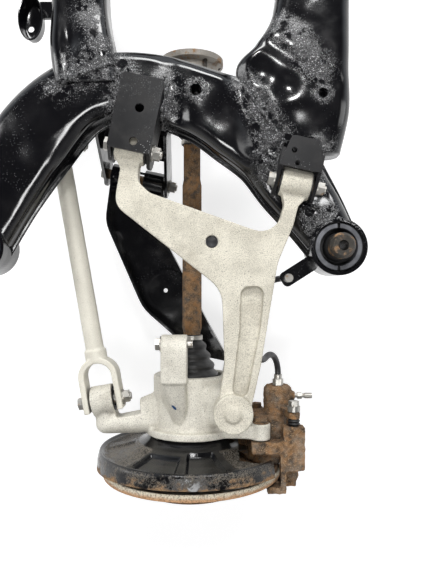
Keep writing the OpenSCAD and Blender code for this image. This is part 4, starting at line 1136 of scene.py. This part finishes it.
@dataclass
class WeldBead:
    """A weld bead laid along a plan line and dropped onto the frame from above."""

    name: str
    plan: tuple
    radius: float = 4.0
    sunk: float = 0.35
    ripple: tuple = (0.13, 1.9)
    lumps: tuple = (0.16, 0.006, 1.7)
    taper: float = 0.35

    def path(self, surface: BVHTree, side: Side) -> Array:
        """The bead's middle line: a smooth curve through the plan points, dropped on the surface and evened out.

        Args:
            surface: what the bead lies on.
            side: side of the car; the plan is given for the left.

        Returns:
            Points in metres.
        """
        p = np.array(self.plan, float)
        length = np.linalg.norm(np.diff(p, axis=0), axis=1).sum()
        flat = catmull(p, np.linspace(0, len(p) - 1, max(8, int(length / 2.5))))
        flat[:, 1] *= -side.value
        drop = [surface.ray_cast(Vector((x * MM, y * MM, 0.3)), Vector((0, 0, -1)))[0] for x, y in flat]
        points = np.array([(h.x, h.y, h.z) for h in drop if h is not None])
        even = points.copy()
        even[1:-1] = (points[:-2] + 2 * points[1:-1] + points[2:]) / 4
        return even

    def build(self, surface: BVHTree, side: Side) -> tuple[Obj, Array]:
        """The bead as a round bar, whose radius follows a sine of the station plus a slow wave over space.

        Args:
            surface: what the bead lies on.
            side: side of the car.

        Returns:
            The bead and its middle line.
        """
        path = self.path(surface, side)
        path[:, 2] -= self.radius * self.sunk * MM
        steps = np.arange(len(path))
        ripple = 1 + self.ripple[0] * np.sin(steps * self.ripple[1]) + self.lumps[0] * wobble(path, *self.lumps[1:])
        ripple[[0, -1]] *= self.taper
        piece = mesh_piece(f"{self.name}_{side.name.lower()}", *capped(tube(path, ripple * self.radius * MM, 14)))
        return piece, path


# Pieces made from the solids


def body_name(node: str) -> str:
    """The body that a solid rides on."""
    found = body_of(frame["nodes"][node])
    return found if isinstance(found, str) else list(found)[0]


def solid_copy(nodes: Sequence[str], name: str) -> Obj:
    """A copy of one or more solids as a new piece, with its split points merged.

    Args:
        nodes: the solids' names.
        name: the piece's name.

    Returns:
        The new piece.
    """
    work = bmesh.new()
    for node in nodes:
        work.from_mesh(frame["nodes"][node].data)
    bmesh.ops.remove_doubles(work, verts=work.verts, dist=2e-6)
    bmesh.ops.recalc_face_normals(work, faces=work.faces)
    mesh = bpy.data.meshes.new(name)
    work.to_mesh(mesh)
    work.free()
    piece = bpy.data.objects.new(name, mesh)
    bpy.context.scene.collection.objects.link(piece)
    return piece


def dress(piece: Obj, material: Mat) -> Obj:
    """Gives a piece its material and slot, and reports it.

    Args:
        piece: the piece.
        material: its finish.

    Returns:
        The same piece.
    """
    piece.data.materials.clear()
    piece.data.materials.append(material)
    LOG.info("%s: %d points", piece.name, len(piece.data.vertices))
    return piece


def finish_piece(piece: Obj, material: Mat, slot: str, *nodes: str) -> Obj:
    """Dresses a piece, hides the solids it stands for and puts it on their body.

    Args:
        piece: the piece.
        material: its finish.
        slot: not used.
        nodes: the solids' names.

    Returns:
        The same piece.
    """
    dress(piece, material)
    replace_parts(piece, *nodes)
    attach(piece, body_name(nodes[0]))
    return piece


@dataclass
class Piece(ABC):
    """A piece that stands for one or more solids and rides on their body."""

    nodes: tuple
    slot: str

    @abstractmethod
    def shape(self) -> Obj:
        """The bare piece."""

    def build(self, material: Mat) -> Obj:
        """The piece with its finish, solids and body."""
        return finish_piece(self.shape(), material, self.slot, *self.nodes)


@dataclass
class Casting(Piece):
    """A cast or forged part: its solids melted into one skin with soft corners.

    The skin is a voxel remesh of the merged solids, each point then moved to the mean of its
    neighbours a few times, and last pushed along its normal by a slow wave.
    """

    voxel: float = 1.8
    passes: int = 6
    wave: float = 0.12
    lump: float = 0.02
    seed: float = 3.1

    def shape(self) -> Obj:
        """The skin.

        Returns:
            The piece.
        """
        piece = solid_copy(self.nodes, f"{self.nodes[0]}_skin")
        melt = piece.modifiers.new("melt", "REMESH")
        melt.mode = "VOXEL"
        melt.voxel_size = self.voxel * MM
        melt.use_smooth_shade = True
        soften = piece.modifiers.new("soften", "SMOOTH")
        soften.factor = 0.5
        soften.iterations = self.passes
        settled(piece)
        points = positions(piece)
        push = (wobble(points, self.lump, self.seed) - 1)[:, None] * self.wave * MM
        points = points + point_data(piece, "normal") * push
        piece.data.vertices.foreach_set("co", points.ravel())
        piece.data.polygons.foreach_set("use_smooth", np.ones(len(piece.data.polygons), bool))
        return piece


@dataclass
class Plate(Piece):
    """A cut or pressed plate: its solid with flat faces joined and every sharp edge rolled over."""

    edge: float = 1.2
    steps: int = 3
    flat: float = 1.0
    sharp: float = 38.0

    def shape(self) -> Obj:
        """The plate.

        Returns:
            The piece.
        """
        piece = solid_copy(self.nodes, f"{self.nodes[0]}_plate")
        work = bmesh.new()
        work.from_mesh(piece.data)
        bmesh.ops.dissolve_limit(work, angle_limit=math.radians(self.flat), verts=work.verts, edges=work.edges)
        work.to_mesh(piece.data)
        work.free()
        roll = piece.modifiers.new("roll", "BEVEL")
        roll.width = self.edge * MM
        roll.segments = self.steps
        roll.limit_method = "ANGLE"
        roll.angle_limit = math.radians(self.sharp)
        roll.use_clamp_overlap = True
        settled(piece)
        piece.data.polygons.foreach_set("use_smooth", np.ones(len(piece.data.polygons), bool))
        even = piece.modifiers.new("even", "WEIGHTED_NORMAL")
        even.keep_sharp = True
        return piece


@dataclass
class Boot:
    """A rubber bellows about the wheel axis.

    Its outside radius grows evenly from the small end to the big one, with rounded waves added:
    half a turn of a cosine up and down for each wave. The inside is the same, one wall less.
    """

    node: str
    small: tuple
    big: tuple
    waves: int
    collar: float = 9.0
    deep: float = 4.0
    wall: float = 2.0
    chamfer: tuple = (0.4, 1.0)
    axis: tuple = (47.0, -138.0)

    def build(self, material: Mat) -> Obj:
        """The boot as one turned skin, dressed.

        Args:
            material: its finish.

        Returns:
            The boot, not yet on a body.
        """
        t = np.linspace(0, 1, 24 * self.waves + 1)
        small, big = np.array(self.small), np.array(self.big)
        along = np.sign(big[1] - small[1])
        ripple = (0.5 - 0.5 * np.cos(2 * np.pi * self.waves * t)) ** 0.8
        waves = small + (big - small) * t[:, None]
        waves[:, 0] += self.deep * ripple
        drop, back = self.chamfer
        collar = np.array([[-drop, along * self.collar], [0.0, along * (self.collar - back)]])
        outer = np.concatenate([small + collar * (1, -1), waves, big + collar[::-1]])
        inner = outer[::-1] - np.array([self.wall, 0])
        points, faces = lathe(np.concatenate([outer, inner]) * MM, np.array(self.axis) * MM, 72)
        piece = dress(mesh_piece(f"{self.node}_bellows", points, faces), material)
        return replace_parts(piece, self.node)


@dataclass
class SplashShield(Piece):
    """The dished sheet behind the disc, with pressed fields and a rolled rim.

    The sheet is a function of radius and angle about the wheel axis. Its depth follows a profile of radius,
    rounded by a running mean, and each field sinks it by a plateau: the product of a soft step at each of
    the field's four sides. The back is the front moved one sheet along its own normal.
    """

    nodes: tuple = ("splash_shield",)
    slot: str = "black_paint"
    axis: tuple = (47.0, -138.0)
    face: float = -700.0
    sheet: float = 2.0
    profile: tuple = (
        (54, 0), (68, 0), (77, -8.5), (82, -11), (112, -20.5), (142, -27), (145, -26.5), (149, -23.2), (152, -23.6),
        (155, -27), (156, -46))
    fields: tuple = (
        (66, 92, 86, 141, 6.5), (97, 128, 96, 140, 5.0), (132, 178, 92, 141, 2.5), (24, 60, 92, 141, 3.0),
        (188, 230, 92, 141, 3.0), (236, 262, 88, 141, 5.5), (268, 300, 94, 140, 4.5), (304, 330, 92, 141, 3.0))
    soft: tuple = (4.0, 2.2)
    opening: tuple = ((123.0, 320.0), (-800.0, -680.0), 86.0)
    skirt: float = 9.0
    skirt_start: tuple = (151.0, 4.0)
    sharp: float = 40.0

    def sink(self, r: Array, angle: Array) -> Array:
        """How far the pressed fields lower the sheet.

        Args:
            r: radii in millimetres.
            angle: angles in degrees.

        Returns:
            Millimetres at each radius and angle.
        """
        total = np.zeros(np.broadcast(r, angle).shape)
        wide, turn = self.soft
        for a0, a1, r0, r1, deep in self.fields:
            total += deep * (soft_step((r - r0) / wide) * soft_step((r1 - r) / wide)
                             * soft_step((angle - a0) / turn) * soft_step((a1 - angle) / turn))
        return total

    def sheet_mesh(self) -> Obj:
        """The whole round sheet, before the caliper's opening is cut.

        Returns:
            The piece.
        """
        knots = np.array(self.profile, float)
        run = np.concatenate([[0], np.cumsum(np.linalg.norm(np.diff(knots, axis=0), axis=1))])
        at = np.linspace(0, run[-1], 100)
        front = np.stack([np.interp(at, run, knots[:, k]) for k in (0, 1)], axis=-1)
        for _ in range(2):
            front[1:-1] = (front[:-2] + 2 * front[1:-1] + front[2:]) / 4
        heading = unit(np.gradient(front, axis=0))
        back = front + self.sheet * np.stack([heading[:, 1], -heading[:, 0]], axis=-1)
        loop = np.concatenate([front, back[::-1]])
        r_seen = np.concatenate([front[:, 0], front[::-1, 0]])
        turn = np.linspace(0, 360, 300, endpoint=False)[:, None]
        rim = soft_step((loop[None, :, 0] - self.skirt_start[0]) / self.skirt_start[1])
        deeper = self.skirt * (1 - np.sin(np.radians(turn))) * rim
        y = self.face + loop[None, :, 1] - self.sink(r_seen[None], turn) - deeper
        x = self.axis[0] + loop[None, :, 0] * np.cos(np.radians(turn))
        z = self.axis[1] + loop[None, :, 0] * np.sin(np.radians(turn))
        rings = np.stack([x, y, z], axis=-1)
        rings = np.concatenate([rings, rings[:1]]) * MM
        return mesh_piece("shield_sheet", rings.reshape(-1, 3), quads(301, len(loop), True))

    def shape(self) -> Obj:
        """The shield with its opening and its masks of dust and rust.

        Returns:
            The piece.
        """
        x, y, half = self.opening
        box = box_piece("cutter", x, y, (self.axis[1] - half, self.axis[1] + half))
        piece = changed(self.sheet_mesh(), box, Change.CUT)
        piece.data.set_sharp_from_angle(angle=math.radians(self.sharp))
        self.masks(piece)
        return piece

    def masks(self, piece: Obj) -> None:
        """Stores where dust lies and where the rim rusts: products of soft steps of radius, angle and depth.

        Args:
            piece: the cut sheet.
        """
        p = positions(piece) / MM
        r = np.hypot(p[:, 0] - self.axis[0], p[:, 2] - self.axis[1])
        angle = np.degrees(np.arctan2(p[:, 2] - self.axis[1], p[:, 0] - self.axis[0])) % 360
        panel = soft_step((r - 82) / 8) * soft_step((147 - r) / 4)
        left = soft_step((angle - 122) / 12) * soft_step((235 - angle) / 20)
        right = soft_step((64 - angle) / 10) + soft_step((angle - 300) / 20)
        lip = soft_step((r - 150) / 3)
        set_mask(piece, "dust_lie", panel * (0.10 + 0.50 * left + 0.60 * right) + 0.42 * lip)
        behind = self.face - p[:, 1]
        edge = lip * (0.40 * soft_step((behind - 27) / 8) + 0.22 * soft_step((behind - 40) / 10))
        set_mask(piece, "rim_rust", np.clip(edge + 0.25 * panel * right, 0, 1))


@dataclass
class MountBush(Piece):
    """The rubber bushes of the four body mounts: a turned section with a deep gap round the sleeve.

    The section is turned about each mount's axis; two narrow notches sink the end ring where the angle
    is within a few degrees of the Y direction.
    """

    nodes: tuple = ("mount_rubbers",)
    slot: str = "rubber"
    spots: tuple = (270.0, 400.0)
    section: tuple = (
        (19.05, -26), (20.5, -28), (21.6, -50), (26.6, -50), (27.6, -33.5), (28.6, -32.2), (34.4, -32.2), (35.4, -33.5),
        (35.8, -39), (37.8, -39), (37.8, -90), (19.05, -90))
    notch: float = 2.6
    notch_deep: float = 7.0
    ring: tuple = (27.2, 35.6, -40.0)
    sharp: float = 35.0

    def shape(self) -> Obj:
        """All four bushes as one piece, with a mask of their end rings.

        Returns:
            The piece.
        """
        points, faces = [], []
        inside, outside, bottom = self.ring
        for x in (-self.spots[0], self.spots[0]):
            for y in (-self.spots[1], self.spots[1]):
                p, f = lathe(np.array(self.section) * MM, np.array((x, y)) * MM, 180, upright=True)
                r = np.hypot(p[:, 0] - x * MM, p[:, 1] - y * MM) / MM
                off = np.degrees(np.arctan2(np.abs(p[:, 0] - x * MM), np.abs(p[:, 1] - y * MM)))
                end = (r > inside) & (r < outside) & (p[:, 2] > bottom * MM)
                p[:, 2] -= np.where(end & (off < self.notch), self.notch_deep * MM, 0.0)
                faces += (np.array(f) + sum(len(q) for q in points)).tolist()
                points.append(p)
        piece = mesh_piece("mount_bushes", np.concatenate(points), faces)
        piece.data.set_sharp_from_angle(angle=math.radians(self.sharp))
        p = positions(piece) / MM
        r = np.hypot(np.abs(p[:, 0]) - self.spots[0], np.abs(p[:, 1]) - self.spots[1])
        set_mask(piece, "end_ring", soft_step((r - 27.3) / 0.8) * soft_step((35.6 - r) / 0.5) * (p[:, 2] > -36))
        return piece


@dataclass
class HangerCup(Piece):
    """The pressed oval cup of the cable hanger: rings of an ellipse, scaled and lowered along a closed section."""

    nodes: tuple = ("hanger_bracket",)
    slot: str = "black_paint"
    middle: tuple = (-180.0, -72.0)
    axes: tuple = (17.0, 31.0)
    section: tuple = (
        (0.02, -30), (0.74, -30), (0.86, -28.6), (0.93, -24), (0.985, -12), (1.04, -8), (1.06, -6.4), (1.04, -5),
        (0.97, -5.4), (0.92, -9), (0.87, -22), (0.80, -26.4), (0.70, -27.6), (0.02, -27.6))
    hole: tuple = (-186.0, -79.0, 4.5, -50.0, -20.0)
    tongue: tuple = ((-172.0, -150.0), (-64.0, -40.0), (-30.0, -24.0))
    sharp: float = 40.0

    def shape(self) -> Obj:
        """The cup with its hole and the tongue that is welded to the cross member.

        Returns:
            The piece.
        """
        scale, z = np.array(self.section, float).T
        turn = np.linspace(0, 2 * np.pi, 73)[:, None]
        x = self.middle[0] + self.axes[0] * scale * np.cos(turn)
        y = self.middle[1] + self.axes[1] * scale * np.sin(turn)
        rings = np.stack([x, y, np.broadcast_to(z, x.shape)], axis=-1) * MM
        piece = mesh_piece("hanger_cup", rings.reshape(-1, 3), quads(73, len(z), True))
        piece = changed(piece, box_piece("tongue", *self.tongue), Change.JOIN)
        piece = changed(piece, bar_piece(*self.hole), Change.CUT)
        piece.data.set_sharp_from_angle(angle=math.radians(self.sharp))
        return piece


@dataclass
class HolePlug:
    """A thin dark plug that closes the jig hole of the upper arm, a little below its rim."""

    spot: tuple = (81.2, -394.3, -12.5)
    radius: float = 8.8
    section: tuple = ((1.0, -3.0), (1.0, 0.0), (0.75, -0.6), (0.4, -1.4), (0.02, -1.6))

    def build(self, material: Mat) -> Obj:
        """The plug as a dished disc: rings of falling height towards the middle.

        Args:
            material: its finish.

        Returns:
            The finished piece.
        """
        share, z = np.array(self.section).T[..., None]
        turn = np.linspace(0, 2 * np.pi, 40, endpoint=False)
        r = share * self.radius
        rings = np.stack(np.broadcast_arrays(r * np.cos(turn), r * np.sin(turn), z), axis=-1)
        piece = mesh_piece("jig_hole_plug", *capped((rings + np.array(self.spot)) * MM))
        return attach(dress(piece, material), "upper_arm")


@dataclass
class BrakeHose:
    """The brake hose in two lengths that meet in its clip on the upper arm, in millimetres.

    The outer length is two equal arcs that bend one way and then the other, so that it leaves the caliper
    and reaches the clip along Y. The inner length is a smooth curve that hangs below the clip and rises to
    the frame's tab.
    """

    radius: float = 5.0
    port: tuple = (190.0, -603.5, -130.0)
    clip: tuple = (143.5, -538.0, -46.0)
    inner: tuple = (
        (143.5, -538.0, -46.0), (139.2, -515.5, -49.8), (131.1, -501.2, -59.3), (124.5, -490.7, -72.8),
        (123.4, -482.7, -86.5), (127.7, -475.2, -99.0), (136.9, -467.8, -108.9), (148.3, -461.3, -114.2),
        (161.5, -455.1, -114.8), (173.7, -450.5, -110.9), (184.1, -447.3, -103.6), (192.2, -445.8, -93.2),
        (196.6, -445.7, -82.3), (198.0, -446.0, -71.0))

    def outer(self) -> Array:
        """The route from the caliper to the clip: two arcs of one radius, turned opposite ways.

        Returns:
            Points in millimetres.
        """
        start, end = np.array(self.port), np.array(self.clip)
        ahead = np.array([0.0, 1.0, 0.0])
        far = (end - start) @ ahead
        aside = end - start - far * ahead
        wide = np.linalg.norm(aside)
        bend = (far**2 + wide**2) / (4 * wide)
        turn = np.linspace(0, math.acos(1 - wide / (2 * bend)), 16)[:, None]
        first = start + bend * (np.sin(turn) * ahead + (1 - np.cos(turn)) * aside / wide)
        return np.concatenate([first, (start + end - first)[-2::-1]])

    def length(self, route: Array) -> tuple[Obj, Array]:
        """One length as a smooth round tube along its route.

        Args:
            route: points in millimetres.

        Returns:
            The tube and its middle line.
        """
        p = np.array(route, float) * MM
        path = catmull(p, np.linspace(0, len(p) - 1, 6 * len(p)))
        points, faces = capped(tube(path, np.full(len(path), self.radius * MM), 28))
        return mesh_piece("length", points, faces), path

    def build(self, material: Mat) -> None:
        """Both lengths, each bending between the two parts that hold its ends.

        Args:
            material: their finish.
        """
        for name, route, bodies in (("hose_to_caliper", self.outer(), ("knuckle", "upper_arm")),
                                    ("hose_to_frame", self.inner, ("upper_arm", "subframe"))):
            piece, path = self.length(route)
            piece.name = name
            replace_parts(dress(piece, material), "brake_hose")
            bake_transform(piece, *bodies, start=tuple(path[0]), end=tuple(path[-1]))


def dress_solid(node: str, material: Mat) -> None:
    """Gives a solid that is shown as it is a material of its own, and reports it.

    Args:
        node: the solid's name.
        material: its finish.
    """
    for slot in frame["nodes"][node].material_slots:
        slot.material = material
    LOG.info("%s: shown as its solid", node)


# The studio


@dataclass
class Studio:
    """A white floor, soft boxes round and over the part, a pale horizon, and the photo's camera looking straight down.

    Each light is a place, a width and a length, all in metres, and a power.
    """

    eye: tuple = (0.088, -0.462, 0.8)
    lens: float = 34.94
    floor_z: float = -0.352
    lights: tuple = (
        ((-2.3, 0.1, 1.0), (0.7, 2.2), 24.0), ((2.0, -0.2, 1.2), (0.6, 1.8), 7.0),
        ((0.05, -1.05, 1.7), (0.8, 0.4), 13.5), ((0.25, 1.6, 1.35), (1.9, 0.6), 46.0),
        ((0.16, 0.34, 1.6), (0.24, 0.18), 7.0))
    target: tuple = (0.05, -0.45, -0.1)
    glow: float = 0.66
    fill: float = 0.30
    floor_half: float = 6.0
    floor_tone: Colour = (0.62, 0.62, 0.62)
    white: Colour = (1.0, 1.0, 1.0)
    walls: tuple[Colour, Colour] = ((0.60, 0.60, 0.61), (0.88, 0.94, 1.0))
    ceiling: Colour = (0.045, 0.045, 0.05)

    def camera(self) -> None:
        """The camera over the rear left corner, with the car's inside at the top of the picture."""
        data = bpy.data.cameras.new("photo_camera")
        data.lens = self.lens
        data.sensor_width = 36.0
        data.sensor_fit = "AUTO"
        data.clip_start = 0.01
        data.dof.use_dof = False
        camera = bpy.data.objects.new("photo_camera", data)
        camera.location = self.eye
        bpy.context.scene.collection.objects.link(camera)
        bpy.context.scene.camera = camera

    def floor(self) -> None:
        """A wide plain floor below the part, that glows a little to the eye and keeps the part's shadow."""
        half, z = self.floor_half, self.floor_z
        corners = np.array([(-half, -half, z), (half, -half, z), (half, half, z), (-half, half, z)])
        piece = mesh_piece("floor", corners, [(0, 1, 2, 3)], smooth=False)
        s = Skin("floor_white")
        away = s.add("ShaderNodeVectorMath", operation="LENGTH", Vector=s.where)["Value"]
        glow = s.seen() * s.ramp(away, 1.2, 3.0, self.glow, 1.0)
        piece.data.materials.append(s.dress(
            Base_Color=self.floor_tone, Roughness=0.9, Specular_IOR_Level=0.0, Emission_Color=self.white,
            Emission_Strength=glow))

    def light(self) -> None:
        """The soft boxes, and a world that is white at the horizon, pale at the sides and dim overhead."""
        for index, (place, size, power) in enumerate(self.lights):
            data = bpy.data.lights.new(f"soft_box_{index}", "AREA")
            data.shape = "RECTANGLE"
            data.size, data.size_y = size
            data.energy = power
            lamp = bpy.data.objects.new(f"soft_box_{index}", data)
            lamp.location = place
            aim = Vector(self.target) - Vector(place)
            lamp.rotation_euler = aim.to_track_quat("-Z", "Y").to_euler()
            bpy.context.scene.collection.objects.link(lamp)
        world = bpy.data.worlds.new("studio")
        bpy.context.scene.world = world
        world.use_nodes = True
        s = Sheet(world.node_tree)
        back = world.node_tree.nodes["Background"]
        toward = s.split(s.add("ShaderNodeTexCoord")["Generated"])
        around = s.mix(s.ramp(toward[1], -0.7, 0.7), *self.walls)
        around = s.mix(s.ramp(toward[2], 0.10, 0.80), around, self.ceiling)
        s.feed(back.inputs["Color"], s.mix(s.ramp(toward[2], 0.02, 0.16), self.white, around))
        s.feed(back.inputs["Strength"], s.ramp(s.seen(), 0.0, 1.0, self.fill, 1.0))
        bpy.context.scene.view_settings.view_transform = "Standard"

    def build(self) -> None:
        """Sets up camera, floor and lights."""
        self.camera()
        self.floor()
        self.light()


# Putting it together


def local_line(pivot: tuple, u: float, v0: float, v1: float, tilt: float = 12.0) -> tuple:
    """Plan points of a straight line in an arm bracket's own frame.

    Args:
        pivot: X and Y of the bracket's pivot.
        u: offset of the line along the pivot's axis.
        v0: where the line starts, square to the axis.
        v1: where it ends.
        tilt: angle of the axis in plan, in degrees.

    Returns:
        Four points.
    """
    c, n = math.cos(math.radians(tilt)), math.sin(math.radians(tilt))
    v = np.linspace(v0, v1, 4)
    return tuple(zip(pivot[0] + u * c + v * n, pivot[1] - u * n + v * c))


FRONT_PIVOT = (-36.0, -258.0)
REAR_PIVOT = (203.65, -308.94)
BEADS = (
    WeldBead("weld_front_cross", ((-146, -172), (-118, -160), (-85, -148), (-54, -136)), 4.2),
    WeldBead("weld_rear_cross", ((128, -165), (145, -190), (166, -218), (190, -248)), 3.6),
    WeldBead("weld_front_bracket_a", local_line(FRONT_PIVOT, -33, 30, 100)),
    WeldBead("weld_front_bracket_b", local_line(FRONT_PIVOT, 33, 30, 100)),
    WeldBead("weld_rear_bracket_a", local_line(REAR_PIVOT, -31, 18, 60), 3.4),
    WeldBead("weld_rear_bracket_b", local_line(REAR_PIVOT, 31, 18, 60), 3.4),
)
SPATTER = (
    ((165, -74), (200, -100), (238, -146)), ((-110, -140), (-80, -118), (-60, -110)),
    ((-98, -66), (-84, -92), (-64, -124)), ((145, -183), (163, -240), (156, -292)),
    ((236, -376), (250, -356), (286, -362)))
RINGS = ((58, -175, 13.0), (243, -178, 11.0), (227, -347, 11.0))
CASTINGS = (
    ("cast_alloy", Casting(("upper_arm", "ball_joint_cap"), "cast_alloy", 1.5, 4)),
    ("marked_alloy", Casting(("knuckle",), "cast_alloy", 1.7, 4, 0.2)),
    ("forged_alloy", Casting(("radius_rod",), "cast_alloy", 1.5)),
    ("rusty_iron", Casting(("caliper_body",), "rusty_iron", 1.3, 4, 0.7, 0.006)),
    ("rusty_iron", Casting(("caliper_carrier",), "rusty_iron", 1.3, 4, 0.7, 0.006)),
)
PLATES = (
    "arm_bracket_front_left", "arm_bracket_front_right", "arm_bracket_rear_left", "arm_bracket_rear_right",
    "link_bracket_left", "link_bracket_right", "rod_bracket_left", "rod_bracket_right",
    "hose_tab", "spring_link")


SOLIDS = {
    **{n: "zinc" for n in ("pivot_bolts", "pivot_nuts", "hose_fittings", "hose_end", "hose_clip", "boot_clamps",
                           "shield_screws", "link_outer_bolt", "link_outer_nut", "rod_ball",
                           "rod_fork_bolt", "rod_fork_nut", "shock_bolt", "ball_stud", "guide_pins", "axle_nut")},
    **{n: "rubber" for n in ("upper_arm_bushes", "knuckle_link_bush", "knuckle_rod_bush",
                             "guide_boots", "spring_link_bushes", "rod_inner_bush")},
    **{n: "rusty_steel" for n in ("shaft_bar", "pivot_sleeves", "carrier_bolts", "hub_flange",
                                  "outer_joint_bell", "brake_pads", "wheel_bearing")},
    "inner_joint_housing": "grey_steel", "mount_sleeves": "worn_sleeve",
    "brake_disc": "swept_disc", "bleed_screw": "zinc",
}


def build_frame(paint: Mat, dull: Mat) -> None:
    """The welded frame with its beads, brackets and paint.

    Args:
        paint: the gloss black finish.
        dull: the duller finish of the arm brackets.
    """
    welded = WeldedFrame()
    welded.build()
    surface = welded.surface()
    paths = []
    for side in Side:
        for bead in BEADS:
            piece, path = bead.build(surface, side)
            set_mask(piece, "weld_near", np.full(len(piece.data.vertices), 0.9))
            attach(dress(piece, paint), "subframe")
            paths.append(path)
        for plan in SPATTER:
            paths.append(WeldBead("spatter", plan).path(surface, side))
    turn = np.linspace(0, 2 * np.pi, 40)
    rings = [WeldBead("ring", tuple(zip(x + r * np.cos(turn), y + r * np.sin(turn)))).path(surface, side)
             for side in Side for x, y, r in RINGS]
    for node, shell in welded.shells.items():
        p = positions(shell)
        set_mask(shell, "weld_near", np.maximum(near_paths(p, paths, 0.018), 0.9 * near_paths(p, rings, 0.005)))
        finish_piece(shell, paint, "black_paint", node)
    HangerCup().build(paint)
    for node in PLATES:
        plate = Plate((node,), "black_paint").build(dull if node.startswith("arm_bracket") else paint)
        if body_name(node) == "subframe":
            set_mask(plate, "weld_near", 0.8 * near_paths(positions(plate), paths, 0.014))


def build_corner(finishes: dict[str, Mat]) -> None:
    """The suspension corner: castings, boots, hose and every solid that is shown as it is.

    Args:
        finishes: materials by name.
    """
    for finish, casting in CASTINGS:
        casting.build(finishes[finish])
    SplashShield().build(finishes["dusty_shield"])
    MountBush().build(finishes["bush_rubber"])
    HolePlug().build(finishes["hose"])
    outer = Boot("outer_boot", (16.55, -548.0), (43.55, -612.0), 4).build(finishes["rubber"])
    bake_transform(outer, "knuckle", "shaft_carrier", start=(0.047, -0.612, -0.138), end=(0.047, -0.548, -0.138))
    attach(Boot("inner_boot", (16.55, -214.0), (46.55, -152.0), 3).build(finishes["rubber"]), "shaft_carrier")
    BrakeHose().build(finishes["hose"])
    for node, name in SOLIDS.items():
        dress_solid(node, finishes[name])


def main() -> None:
    """Builds the finishes, the frame, the corner and the studio."""
    finishes = {f.name: f.build() for f in (
        BlackPaint(), BlackPaint("bracket_paint", (0.006, 0.006, 0.007), 0.10, 0.36, 0.3, 1.0, 0.35),
        # the wheel carrier's alloy is paler than the arm's to make up for the shade it lies in: painted light
        CastAlloy(), MarkedAlloy("marked_alloy", (0.85, 0.82, 0.725), (0.43, 0.405, 0.345), 0.3),
        CastAlloy("forged_alloy", (0.82, 0.79, 0.69), (0.66, 0.63, 0.54), 0.2, 1000.0, 0.3, 0.12, 0.4),
        RustyIron(), RustyIron("rusty_steel", 0.62, 80.0, (0.10, 0.085, 0.07), 0.9, 0.15),
        RustyIron("grey_steel", 0.40, 70.0, (0.30, 0.28, 0.25)),
        RustyIron("worn_sleeve", 0.42, 55.0, (0.05, 0.046, 0.04), 0.9, 0.08),
        PlatedSteel(), Rubber(), BushRubber(), Rubber("hose", (0.009, 0.009, 0.012), 0.15, 0.40),
        SweptDisc(), DustyShield())}
    build_frame(finishes["black_paint"], finishes["bracket_paint"])
    build_corner(finishes)
    Studio().build()


if __name__ == "__main__":
    main()
